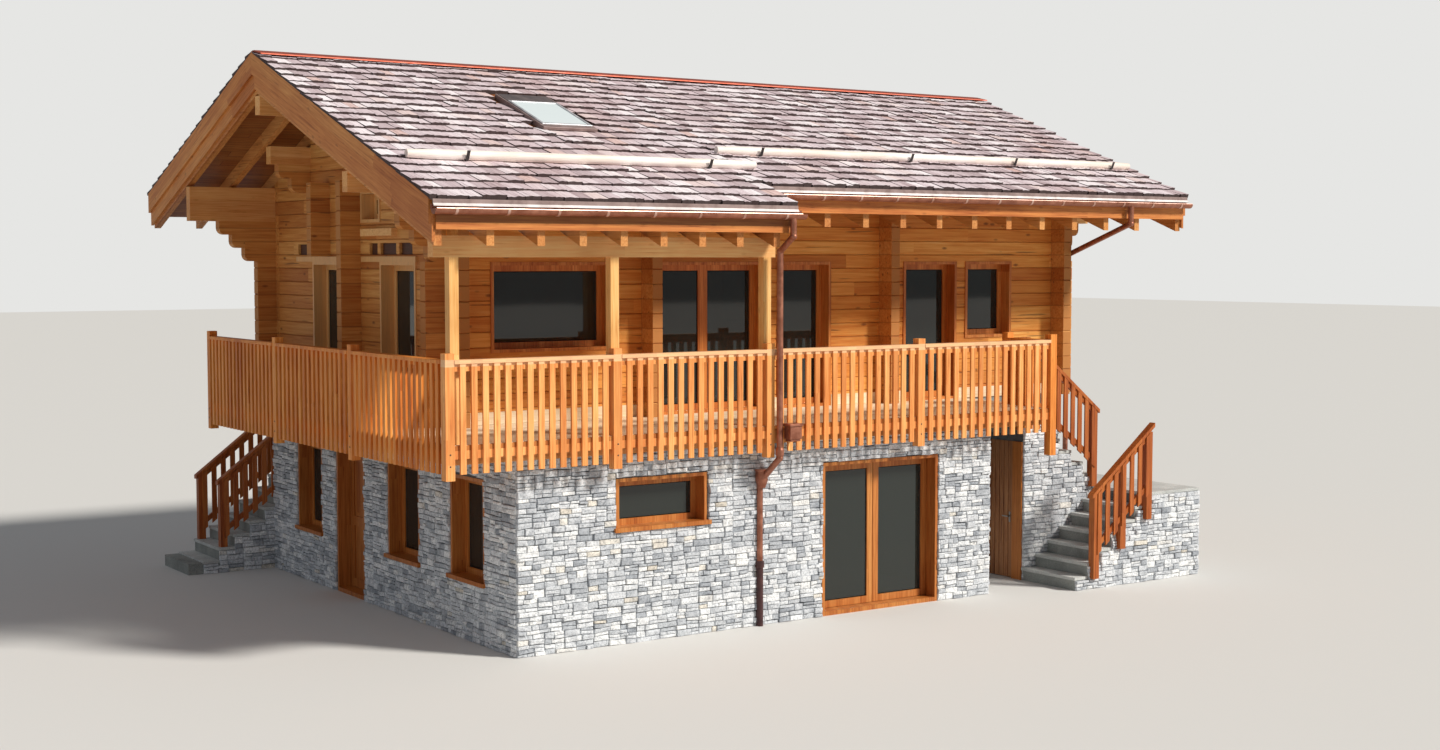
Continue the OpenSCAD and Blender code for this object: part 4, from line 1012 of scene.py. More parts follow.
def cut_away(stone: Rect, hole: Rect) -> list[Rect]:
    """Takes a hole out of a stone and gives the rectangles that are left."""
    u0, u1, v0, v1 = stone
    a0, a1, b0, b1 = hole
    if u1 <= a0 or u0 >= a1 or v1 <= b0 or v0 >= b1:
        return [stone]
    left: list[Rect] = []
    if u0 < a0:
        left.append((u0, a0, v0, v1))
    if u1 > a1:
        left.append((a1, u1, v0, v1))
    m0, m1 = max(u0, a0), min(u1, a1)
    if v0 < b0:
        left.append((m0, m1, v0, b0))
    if v1 > b1:
        left.append((m0, m1, b1, v1))
    return [r for r in left if r[1] - r[0] > LEAST_STONE[0] and r[3] - r[2] > LEAST_STONE[1]]


@dataclass
class StoneFace:
    """One plane of split stone facing.

    Attributes:
        name: Name of the piece.
        corner: Left foot of the face, seen from outside, in the house frame.
        facing: The way it looks.
        width: Its width.
        height: Its height.
        holes: Rectangles left free, as first and last width and height.
    """

    name: str
    corner: Vec
    facing: Facing
    width: float
    height: float
    holes: tuple[Rect, ...] = ()


@dataclass
class StoneFacing:
    """The split stones of the ground storey and the stairs.

    Attributes:
        tall: Range of stone heights, in metres.
        wide: Range of stone widths.
        proud: Range of how far a stone stands out of its bed.
        root: How deep a stone sits in its bed.
        bed: Joint between two stones.
        seed: Seed of the pattern.
    """

    tall: Pair = (0.045, 0.115)
    wide: Pair = (0.09, 0.36)
    proud: Pair = (0.004, 0.034)
    root: float = 0.02
    bed: float = 0.004
    seed: int = 41

    def split(self, rect: Rect, chance: random.Random, out: list[Rect]) -> None:
        """Cuts a rectangle again and again, until every stone is in range."""
        u0, u1, v0, v1 = rect
        wide, tall = u1 - u0, v1 - v0
        limit_w = chance.uniform(self.wide[0] * 1.8, self.wide[1])
        limit_h = chance.uniform(self.tall[0] * 1.6, self.tall[1])
        if tall > limit_h and (tall / self.tall[1] > wide / self.wide[1] or wide <= limit_w):
            cut = v0 + tall * chance.uniform(0.36, 0.64)
            if min(cut - v0, v1 - cut) >= self.tall[0] * 0.7:
                self.split((u0, u1, v0, cut), chance, out)
                self.split((u0, u1, cut, v1), chance, out)
                return
        if wide > limit_w:
            cut = u0 + wide * chance.uniform(0.34, 0.66)
            self.split((u0, cut, v0, v1), chance, out)
            self.split((cut, u1, v0, v1), chance, out)
            return
        out.append(rect)

    def stones(self, face: StoneFace) -> list[Spot]:
        """Works out the place, size and turn of each stone of a face."""
        chance = random.Random(self.seed + sum(map(ord, face.name)))
        rects: list[Rect] = []
        self.split((0.0, face.width, 0.0, face.height), chance, rects)
        for hole in face.holes:
            rects = [part for rect in rects for part in cut_away(rect, hole)]
        turn = face.facing.value
        run = Vector((math.cos(turn), math.sin(turn), 0.0))
        spots = []
        for u0, u1, v0, v1 in rects:
            middle = Vector(face.corner) + run * ((u0 + u1) / 2)
            depth = chance.uniform(*self.proud)
            spots.append((at(middle.x, middle.y, face.corner[2] + (v0 + v1) / 2),
                          (u1 - u0 - self.bed, depth + self.root, v1 - v0 - self.bed),
                          (0.0, 0.0, turn)))
        return spots

    def blank(self, pieces: Pieces) -> bpy.types.Object:
        """Makes the blank: a block that narrows to its split front."""
        rows = [(0.5, 0.5, 0.3), (0.5, 0.5, -0.55), (0.46, 0.42, -0.94), (0.24, 0.2, -1.0)]
        points: list[Vec] = []
        for half_w, half_h, depth in rows:
            points += [(w * half_w, depth, h * half_h)
                       for w, h in ((-1, -1), (1, -1), (1, 1), (-1, 1))]
        faces = [[12, 13, 14, 15]]
        for k in range(3):
            for i in range(4):
                j = (i + 1) % 4
                faces.append([4 * k + i, 4 * k + j, 4 * k + 4 + j, 4 * k + 4 + i])
        return pieces.blank("stone_blank", points, faces)

    def build(self, pieces: Pieces, faces: Sequence[StoneFace]) -> None:
        """Lays every face over its mortar bed."""
        for number, face in enumerate(faces):
            mesh = Laying(jitter=0.035, wobble=0.018, grit=7.0, seed=number + 5).lay(
                face.name, self.blank(pieces), pieces.of(STONE), self.stones(face))
            # The lowest stones are cut level where they meet the ground
            for vert in mesh.vertices:
                vert.co.z = max(vert.co.z, 0.0)
            pieces.add(face.name, mesh, STONE, "stone")


@dataclass
class ShingleRoof:
    """The split shingles on both slopes, laid in courses from the eaves up.

    Attributes:
        exposure: Part of a shingle that shows, measured down the slope.
        length: Length of a shingle.
        butt: Thickness at its lower edge.
        wide: Range of widths.
        gap: Gap between two shingles of a course.
        least: Narrowest shingle that is laid.
        stagger: Shift of every other course.
        slip: Range of how far a shingle lies up or down from its line.
        head: Closest that a course comes to the ridge.
        skylight: Part left free on the front slope: x and slope ranges.
    """

    exposure: float = 0.285
    length: float = 0.43
    butt: float = 0.056
    wide: Pair = (0.11, 0.24)
    gap: float = 0.006
    least: float = 0.03
    stagger: float = 0.06
    slip: Pair = (-0.02, 0.016)
    head: float = 0.16
    skylight: Rect = (1.50, 2.34, 1.67, 3.13)

    def blank(self, pieces: Pieces) -> bpy.types.Object:
        """Makes the blank: a wedge, ribbed down its middle."""
        points = []
        for y, top in ((0.0, 1.0), (0.62, 0.5), (1.0, 0.12)):
            for x, drop in ((-0.5, 0.14), (-0.12, 0.0), (0.2, 0.1), (0.5, 0.05)):
                points.append((x, y, top - drop * top))
        points += [(x, y, -0.1) for x, y in ((-0.5, 0.0), (-0.12, 0.0), (0.2, 0.0), (0.5, 0.0),
                                             (-0.5, 1.0), (0.5, 1.0))]
        faces = [[4 * r + c, 4 * r + c + 1, 4 * r + c + 5, 4 * r + c + 4]
                 for r in range(2) for c in range(3)]
        faces += [[12, 13, 1, 0], [13, 14, 2, 1], [14, 15, 3, 2], [12, 0, 4, 8, 16],
                  [15, 17, 11, 7, 3]]
        return pieces.blank("shingle_blank", points, faces)

    def course_spots(self, runs: Sequence[Vec], rear: bool, seed: int) -> list[Spot]:
        """Works out every shingle of one slope.

        Args:
            runs: For each part of the slope its first and last x and its length
                from the ridge down to the eave.
            rear: True on the rear slope.
            seed: Seed of the widths.

        Returns:
            Place, size and turn of each shingle.
        """
        chance = random.Random(seed)
        spots = []
        for x_first, x_last, eave in runs:
            course = 0
            while eave - course * self.exposure > self.head:
                down = eave - course * self.exposure
                x = x_first - (0.0 if course % 2 else self.stagger)
                while x < x_last - 0.02:
                    end = min(x + chance.uniform(*self.wide), x_last)
                    if x_last - end < 2 * self.least:
                        end = x_last
                    start = max(x, x_first)
                    middle = (start + end) / 2
                    if end - start > self.least and not self.blocked(middle, down, rear):
                        slip = chance.uniform(*self.slip)
                        spots.append(self.spot(middle, min(down + slip, eave + 0.012),
                                               end - start - self.gap,
                                               min(self.length, down - 0.02), rear, chance))
                    x = end
                course += 1
        return spots

    def blocked(self, x: float, down: float, rear: bool) -> bool:
        """Tells whether a shingle would lie over the skylight."""
        x0, x1, s0, s1 = self.skylight
        return not rear and x0 - 0.05 < x < x1 + 0.05 and s0 < down < s1 + self.exposure * 0.6

    def spot(self, x: float, down: float, width: float, length: float, rear: bool,
             chance: random.Random) -> Spot:
        """Gives the place, size and turn of one shingle."""
        way = 1.0 if rear else -1.0
        y = RIDGE[0] + way * down * math.cos(PITCH)
        z = RIDGE[1] - down * math.sin(PITCH)
        thick = self.butt * chance.uniform(0.8, 1.2)
        turn = math.pi if rear else 0.0
        return at(x, y, z), (width, length, thick), (PITCH, 0.0, turn)

    def build(self, pieces: Pieces) -> None:
        """Lays the front and the rear slope."""
        slope = math.cos(PITCH)
        front = [(-1.43, 3.79, (RIDGE[0] + 0.64) / slope), (3.79, 12.0, (RIDGE[0] - 0.09) / slope)]
        rear = [(-1.43, 12.0, (9.77 - RIDGE[0]) / slope)]
        for name, runs, back, seed in (("shingles_front", front, False, 7),
                                       ("shingles_rear", rear, True, 8)):
            mesh = Laying(jitter=0.012, wobble=0.008, grit=4.0, seed=seed).lay(
                name, self.blank(pieces), pieces.of(SHINGLE), self.course_spots(runs, back, seed))
            pieces.add(name, mesh, SHINGLE, "roofing")
        pieces.dress(SOFFIT_BOARD, "roof_front", "roof_rear")
        # The copper sheet of the ridge laps over the highest course
        outline = [(-0.3, 0.07), (-0.296, 0.084), (-0.03, 0.042), (0.0, 0.028), (0.03, 0.042),
                   (0.296, 0.084), (0.3, 0.07), (0.288, 0.066), (0.0, 0.012), (-0.288, 0.066)]
        folded = [(RIDGE[0] + y, RIDGE[1] - abs(y) * math.tan(PITCH) + lift) for y, lift in outline]
        sheet = swept_mesh("ridge_flashing", folded, (-1.40, 11.97))
        pieces.add("ridge_flashing", sheet, COPPER_RIDGE, "copper")
        pieces.dress(COPPER_RIDGE, "ridge_cap")


@dataclass
class Eaves:
    """Drip aprons, gutter brackets and snow guards along the eaves.

    Attributes:
        lines: Each eave as first x, last x, y of its edge, and direction out.
        pitch: Distance between two gutter brackets.
        apron: Outline of the apron, out and up from the edge of the eave.
        hem: Outline of the edge below it, painted bright as a highlight.
        guards: Each snow pole as first x, last x, way down from the ridge,
            and the x of its holders.
        pole: Radius of a snow pole.
        strap: Outline of a holder, along the slope and square to it.
        head: Boxes of the leader head.
    """

    lines: tuple[Rect, ...] = (
        (-1.40, 3.78, -0.60, -1.0), (3.80, 11.98, 0.13, -1.0), (-1.35, 11.92, 9.73, 1.0))
    pitch: float = 0.68
    apron: tuple[Pair, ...] = ((-0.1, -0.002), (0.058, -0.012), (0.062, -0.062), (0.046, -0.064),
                               (0.046, -0.03), (-0.1, -0.012))
    hem: tuple[Pair, ...] = ((0.060, -0.058), (0.086, -0.092), (0.080, -0.097), (0.054, -0.066))
    guards: tuple[tuple[float, float, float, tuple[float, ...]], ...] = (
        (-1.13, 4.003, 4.640, (-0.348, 3.234)), (3.775, 11.86, 4.010, (4.49, 7.216, 9.30, 11.414)))
    pole: float = 0.064
    strap: tuple[Pair, ...] = ((0.30, 0.044), (-0.062, 0.044), (-0.084, 0.058), (-0.094, 0.18),
                               (-0.088, 0.18), (-0.078, 0.062), (-0.058, 0.052), (0.30, 0.052))
    head: tuple[tuple[float, ...], ...] = (
        (3.735, 3.925, -0.56, -0.42, 2.53, 2.70), (3.72, 3.94, -0.575, -0.405, 2.70, 2.735),
        (3.75, 3.91, -0.55, -0.43, 2.50, 2.53))

    def aprons(self, pieces: Pieces) -> None:
        """Folds the drip apron under the lowest shingles, and the edge below it with its painted
        highlight.
        """
        for number, (x0, x1, y, way) in enumerate(self.lines):
            for kind, finish, fold in (("drip_apron", APRON_SHADE, self.apron),
                                       ("drip_edge", DRIP_EDGE_HIGHLIGHT, self.hem)):
                outline = [(y + way * out, roof_z(y) + up) for out, up in fold]
                name = f"{kind}_{number}"
                pieces.add(name, swept_mesh(name, outline, (x0, x1)), finish, "copper")

    def rims(self, pieces: Pieces) -> None:
        """Rolls the front edge of each gutter."""
        work = bmesh.new()
        for x0, x1, y, way in self.lines:
            out, up = y + way * 0.157, roof_z(y) - 0.122
            ring = circle(0.009, 8)
            add_rings(work, [[at(x, out + a, up + b) for a, b in ring] for x in (x0, x1)])
        rims = to_mesh(work, "gutter_rims", outward=True)
        # The rim is painted paler copper, a painted highlight
        pieces.add("gutter_rims", rims, COPPER_HIGHLIGHT, "copper")

    def brackets(self, pieces: Pieces) -> None:
        """Puts a strap round each gutter at even distances."""
        steps = 10
        angles = [math.pi * i / steps for i in range(steps + 1)]
        points = [(x, -radius * math.cos(angle), -radius * math.sin(angle))
                  for x in (-0.5, 0.5) for radius in (1.0, 1.07) for angle in angles]
        faces = []
        for i in range(steps):
            a, b, c, d = (row * (steps + 1) + i for row in range(4))
            faces += [[b, b + 1, d + 1, d], [a + 1, a, c, c + 1], [a, a + 1, b + 1, b],
                      [c + 1, c, d, d + 1]]
        blank = pieces.blank("gutter_strap_blank", points, faces)
        spots = []
        for x0, x1, y, way in self.lines:
            count = int((x1 - x0) / self.pitch)
            for i in range(count + 1):
                x = x0 + 0.25 + i * (x1 - x0 - 0.5) / count
                spots.append((at(x, y + way * 0.11, roof_z(y) - 0.125), (0.034, 0.066, 0.066),
                              (0.0, 0.0, 0.0)))
        # The straps are painted paler copper, a painted highlight
        mesh = Laying(seed=9).lay("gutter_straps", blank, pieces.of(COPPER_HIGHLIGHT), spots)
        pieces.add("gutter_straps", mesh, COPPER_HIGHLIGHT, "copper")

    def snow_guards(self, pieces: Pieces) -> None:
        """Shapes the peeled snow poles, a little uneven, and their holders."""
        chance = random.Random(12)
        work, steel = bmesh.new(), bmesh.new()
        for x0, x1, down, places in self.guards:
            count = int((x1 - x0) / 0.35)
            rings = []
            for i in range(count + 1):
                x = x0 + (x1 - x0) * i / count
                worn = 0.012 if i in (0, count) else 0.0
                radius = self.pole * (1 + chance.uniform(-0.035, 0.0)) - worn
                y, z = on_slope(down, 0.09 + chance.uniform(-0.003, 0.003))
                rings.append([at(x, y + a, z + b) for a, b in circle(radius, 20)])
            add_rings(work, rings)
            for x in places:
                add_rings(steel, [[at(edge, *on_slope(down - along, lift))
                                   for along, lift in self.strap]
                                  for edge in (x - 0.022, x + 0.022)])
        logs = to_mesh(work, "snow_guard_logs", outward=True)
        pieces.add("snow_guard_logs", logs, PALE_LOG, "larch", replaces=["snow_guards"])
        straps = to_mesh(steel, "snow_guard_straps", outward=True)
        pieces.add("snow_guard_straps", straps, DARK_STEEL, "copper")

    def fittings(self, pieces: Pieces) -> None:
        """Adds the leader head with its hopper, and the iron foot of the pipe."""
        copper, iron = bmesh.new(), bmesh.new()
        for box in self.head:
            edges = {edge for face in add_box(copper, upright(*box)) for edge in face.edges}
            bmesh.ops.bevel(copper, geom=list(edges), offset=0.004, segments=1, affect="EDGES")
        self.funnel(copper, (3.605, -0.095, 1.86),
                    ((0.0, 0.052), (0.10, 0.085), (0.22, 0.085), (0.235, 0.095), (0.25, 0.095)))
        self.funnel(copper, (3.665, -0.42, 2.30),
                    ((0.0, 0.047), (0.03, 0.056), (0.09, 0.056), (0.12, 0.047)))
        self.funnel(iron, (3.605, -0.054, 0.0),
                    ((0.0, 0.0475), (0.78, 0.0475), (0.79, 0.060), (0.87, 0.060), (0.88, 0.0475)))
        for name, work, finish in (("leader_head", copper, COPPER),
                                   ("downpipe_foot", iron, CAST_IRON)):
            pieces.add(name, to_mesh(work, name, outward=True), finish, "copper")

    def funnel(self, work: bmesh.types.BMesh, foot: Vec, rows: Sequence[Pair]) -> None:
        """Adds a turned shape, given as heights above its foot and radii."""
        x, y, z = foot
        add_rings(work, [[at(x + a, y + b, z + high) for a, b in circle(radius, 20)]
                         for high, radius in rows])

    def build(self, pieces: Pieces) -> None:
        """Builds all that belongs to the eaves."""
        self.aprons(pieces)
        self.rims(pieces)
        self.brackets(pieces)
        self.snow_guards(pieces)
        self.fittings(pieces)
        pieces.dress(COPPER, "gutters", "downpipes")
        pieces.dress(SPRUCE_FASCIA, "fascias")


@dataclass
class LogStorey:
    """Log walls, their ends and the roof timbers.

    Attributes:
        pockets: Joist pockets in the left gable, as place and width along Y.
    """

    pockets: tuple[Pair, ...] = ((2.92, 0.42), (3.44, 0.52), (4.06, 0.27), (5.24, 0.25),
                                 (6.48, 0.52))

    def build(self, pieces: Pieces) -> None:
        """Gives every timber of the upper storey and roof its finish."""
        pieces.dress(LOGS_FRONT, "log_wall_front")
        pieces.dress(LOGS_REAR, "log_wall_rear")
        pieces.dress(LOGS_Y, "log_wall_left", "log_wall_right")
        pieces.dress(LOG_ENDS, "log_ends", "corbels")
        pieces.dress(SPRUCE_BEAM, "purlins", "deck_beams")
        pieces.dress(VERANDA_BEAM, "veranda_beams")
        pieces.dress(SPRUCE_POST, "veranda_posts")
        pieces.dress(SPRUCE_RAFTER, "rafters_front", "rafters_rear")
        pieces.dress(BARGE_FRONT, "bargeboards_front")
        pieces.dress(BARGE_REAR, "bargeboards_rear")
        pieces.dress(CONCRETE, "upper_floor", "terrace_floor", "ground_floor")
        # A dark sheet at the back of each joist pocket is painted shade
        boards = [(0.040, 0.057, y + 0.002, y + w - 0.002, 4.952, 5.108) for y, w in self.pockets]
        pieces.add("pocket_boards", boxes_mesh("pocket_boards", boards, 0.001), POCKET_SHADE,
                   "larch_dark")


@dataclass
class Skylight:
    """Roof window: a mill finish frame round one pane, under a sheet hood.

    Attributes:
        x: First and last x of its frame.
        down: First and last distance from the ridge, down the slope.
        high: Height above the roof surface.
        hood: Depth of the sheet hood over its upper end.
        bar: Width of the frame at the sides and the top.
        sill: Width of the frame at the foot.
        sunk: How far hood and frame reach down into the roof.
    """

    x: Pair = (1.53, 2.31)
    down: Pair = (1.70, 3.10)
    high: float = 0.09
    hood: float = 0.34
    bar: float = 0.04
    sill: float = 0.05
    sunk: float = -0.3

    def build(self, pieces: Pieces) -> None:
        """Builds the window in place of the CAD node.

        Each bar is given as first and last x, first and last way down from the
        ridge, and its lower and upper height over the roof surface.
        """
        (x0, x1), (s0, s1), high, sunk = self.x, self.down, self.high, self.sunk
        head = s0 + self.hood
        left, right, top, foot = x0 + self.bar, x1 - self.bar, head + self.bar, s1 - self.sill
        hood = [(x0, x1, s0, head, sunk, high - 0.012)]
        # Sheet apron below the window and an upstand beside it, in the apron sheet darkened as
        # painted shade
        apron = [(x0 - 0.03, x1 + 0.03, s1, s1 + 0.10, 0.03, 0.072),
                 (x0 - 0.03, x0 - 0.002, s0, s1, 0.0, 0.076),
                 (x1 + 0.002, x1 + 0.03, s0, s1, 0.0, 0.076)]
        frame_bars = [(x0, left, head, s1, sunk, high), (right, x1, head, s1, sunk, high),
                      (left, right, head, top, sunk, high), (left, right, foot, s1, sunk, high)]
        pane = [(left, right, top, foot, high - 0.034, high - 0.010)]
        for name, bars, bevel, segments, finish, slot, stands_for in (
                ("skylight_hood", hood, 0.006, 2, HOOD_SHEET, "copper", ()),
                ("skylight_flashing", apron, 0.003, 1, APRON_SHADE, "copper", ()),
                ("skylight_frame", frame_bars, 0.004, 1, MILL_SHEET, "copper", ["skylight"]),
                ("skylight_pane", pane, 0.0, 1, SKY_PANE_REFLECTION, "glass", ())):
            work = bmesh.new()
            for a, b, c, d, low, up in bars:
                add_box(work, [at(x, *on_slope(s, lift)) for lift in (low, up)
                               for x, s in ((a, d), (b, d), (b, c), (a, c))])
            mesh = to_mesh(work, name, bevel, segments)
            pieces.add(name, mesh, finish, slot, replaces=stands_for)


@dataclass
class Balcony:
    """Boards, balustrades and their bolts.

    Attributes:
        board: Width of a deck board.
        gap: Gap between two boards.
        rail_top: Height at which the stair rail is cut level.
        front: Place along X of each front post.
        left: Place along Y of each left post.
        feet: Parts of the front log wall with a skirting, between its doors.
    """

    board: float = 0.137
    gap: float = 0.007
    rail_top: float = 3.712
    front: tuple[float, ...] = (-1.127, 1.163, 3.5, 6.086)
    left: tuple[float, ...] = (2.39, 5.058, 7.805)
    feet: tuple[Pair, ...] = ((0.0, 3.155), (5.08, 5.29), (6.30, 7.69), (8.79, 10.98))

    def boards(self, pieces: Pieces) -> None:
        """Lays the deck boards over the CAD deck, with their gaps."""
        boxes = []
        pitch, level = self.board + self.gap, (DECK_Z - 0.01, DECK_Z + 0.004)
        y = -0.32
        while y < SET_BACK - 0.05:
            x1 = 8.60 if y < 0.52 else 8.93
            boxes.append((-1.0, x1, y, min(y + self.board, SET_BACK - 0.004), *level))
            y += pitch
        x = -1.0
        while x < -0.05:
            boxes.append((x, min(x + self.board, -0.004), SET_BACK + 0.02, 7.9, *level))
            x += pitch
        skirts = [(x0, x1, SET_BACK - 0.022, SET_BACK - 0.001, DECK_Z + 0.006, DECK_Z + 0.17)
                  for x0, x1 in self.feet]
        for name, parts, bevel in (("deck_boards", boxes, 0.002), ("skirting", skirts, 0.003)):
            pieces.add(name, boxes_mesh(name, parts, bevel), DECK_BOARD, "decking")

    def trimmed(self, pieces: Pieces) -> None:
        """Cuts the upper stair rail level where it meets the balcony rail."""
        work = bmesh.new()
        work.from_mesh(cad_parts["railing_upper_stair"].data)
        bmesh.ops.remove_doubles(work, verts=work.verts, dist=1e-5)
        bmesh.ops.bisect_plane(work, geom=list(work.verts) + list(work.edges) + list(work.faces),
                               plane_co=(0.0, 0.0, self.rail_top), plane_no=(0.0, 0.0, 1.0),
                               clear_outer=True)
        bmesh.ops.holes_fill(work, edges=[e for e in work.edges if e.is_boundary], sides=0)
        mesh = to_mesh(work, "stair_rail_upper", outward=True)
        pieces.add("stair_rail_upper", mesh, LARCH_STAIR, "larch", replaces=["railing_upper_stair"])

    def bolts(self, pieces: Pieces) -> None:
        """Sets two domed bolt heads into the face of every post."""
        turns = 10
        points = [(a, -high, b) for radius, high in ((1.0, 0.0), (0.8, 0.5), (0.4, 0.85))
                  for a, b in circle(radius, turns)]
        faces = [[r * turns + k, r * turns + (k + 1) % turns, (r + 1) * turns + (k + 1) % turns,
                  (r + 1) * turns + k] for r in range(2) for k in range(turns)]
        faces.append([2 * turns + k for k in range(turns)])
        blank = pieces.blank("bolt_blank", points, faces)
        size, heights = (0.011, 0.007, 0.011), (2.46, 2.60)
        spots = [(at(x + 0.06, -0.3665, z), size, (0.0, 0.0, Facing.FRONT.value))
                 for x in self.front for z in heights]
        spots += [(at(-1.1275, y + 0.06, z), size, (0.0, 0.0, Facing.LEFT.value))
                  for y in self.left for z in heights]
        mesh = Laying(seed=21).lay("post_bolts", blank, pieces.of(DARK_STEEL), spots)
        pieces.add("post_bolts", mesh, DARK_STEEL, "copper")

    def build(self, pieces: Pieces) -> None:
        """Builds the boards and dresses the balustrades."""
        self.boards(pieces)
        self.trimmed(pieces)
        self.bolts(pieces)
        pieces.dress(LARCH_JOINERY, "deck")
        pieces.dress(LARCH_RAIL, "railing_front")
        pieces.dress(LARCH_RAIL_SIDE, "railing_left", "railing_right")
        pieces.dress(LARCH_STAIR, "railing_lower_stair", "railing_rear_stair")


@dataclass
class Stairs:
    """Sawn slabs on every step.

    Attributes:
        lip: How far a slab stands out over its riser.
        over: How far a slab stands above the CAD step.
    """

    lip: float = 0.016
    over: float = 0.003

    def flight(self, x: float, z: float, count: int, depth: Pair,
               way: float) -> list[tuple[float, ...]]:
        """Lists the slabs of a flight that climbs along X."""
        out = []
        for i in range(count):
            top = z + (i + 1) * RISER + self.over
            nose, back = x + way * (i * TREAD - self.lip), x + way * (i + 1) * TREAD
            out.append((min(nose, back), max(nose, back), *depth, top - SLAB, top))
        return out

    def build(self, pieces: Pieces) -> None:
        """Lays the slabs and dresses the flights."""
        boxes = self.flight(FLIGHT_X, 0.0, 6, (-0.585, 0.548), 1.0)
        boxes += self.flight(LANDING_X, LANDING_Z, 6, (0.535, 1.898), -1.0)
        boxes.append((LANDING_X - self.lip, 11.6, -0.585, 1.9, LANDING_Z - SLAB,
                      LANDING_Z + self.over))
        boxes += self.flight(REAR_X[0], 0.0, 13, (8.095, 9.275), 1.0)
        pieces.add("step_slabs", boxes_mesh("step_slabs", boxes, 0.003), TREAD_SLAB, "concrete")
        pieces.dress(CONCRETE, "stair_lower", "stair_upper", "stair_rear")


@dataclass
class Joinery:
    """Windows and doors, with a gasket round each pane.

    Attributes:
        gasket: Width of the dark gasket.
        proud: How far it stands out of the pane.
    """

    gasket: float = 0.010
    proud: float = 0.004

    def panes(self, node: str) -> list[tuple[Vector, Vector]]:
        """Lists the box of every loose pane of a CAD node."""
        work = bmesh.new()
        work.from_mesh(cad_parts[node].data)
        boxes = []
        left = set(work.verts)
        while left:
            group, edge = set(), [left.pop()]
            while edge:
                point = edge.pop()
                group.add(point)
                for link in point.link_edges:
                    other = link.other_vert(point)
                    if other in left:
                        left.discard(other)
                        edge.append(other)
            boxes.append(tuple(Vector([end(v.co[k] for v in group) for k in range(3)])
                               for end in (min, max)))
        work.free()
        return boxes

    def gaskets(self, pieces: Pieces, node: str, body: str) -> None:
        """Frames every pane of a CAD node with a thin dark gasket.

        Args:
            pieces: Keeper of the materials.
            node: CAD node that holds the panes.
            body: Body that the panes move with.
        """
        strips: list[list[float]] = []
        for low, high in self.panes(node):
            thin = min(range(2), key=lambda k: high[k] - low[k])
            wide = 1 - thin
            a0, a1, z0, z1 = low[wide], high[wide], low[2], high[2]
            for first, last, foot, top in (
                    (a0, a1, z0, z0 + self.gasket), (a0, a1, z1 - self.gasket, z1),
                    (a0, a0 + self.gasket, z0 + self.gasket, z1 - self.gasket),
                    (a1 - self.gasket, a1, z0 + self.gasket, z1 - self.gasket)):
                span = [0.0, 0.0, 0.0, 0.0]
                span[2 * thin:2 * thin + 2] = low[thin] - self.proud, high[thin] + self.proud
                span[2 * wide:2 * wide + 2] = first + 0.0005, last - 0.0005
                strips.append([span[k] + CENTRE[k // 2] for k in range(4)] + [foot, top])
        mesh = boxes_mesh(node + "_gaskets", strips, 0.001)
        pieces.add(node + "_gaskets", mesh, RUBBER, "glass", body)

    def build(self, pieces: Pieces) -> None:
        """Dresses frames, leaves and panes, and frames the panes."""
        pieces.dress(LARCH_JOINERY, "ground_frames", "door_jambs", "door_heads")
        pieces.dress(PATIO_LEAF, "patio_leaf_left", "patio_leaf_right")
        pieces.dress(SIDE_LEAF, "side_door")
        pieces.dress(LARCH_UPPER, "upper_frames")
        pieces.dress(STORE_BOARD, "store_door")
        pieces.dress(WINDOW_GLASS, "ground_glass", "upper_glass", "patio_pane_left",
                     "patio_pane_right")
        for node, body in (("ground_glass", "house"), ("upper_glass", "house"),
                           ("patio_pane_left", "patio_door_left"),
                           ("patio_pane_right", "patio_door_right")):
            self.gaskets(pieces, node, body)


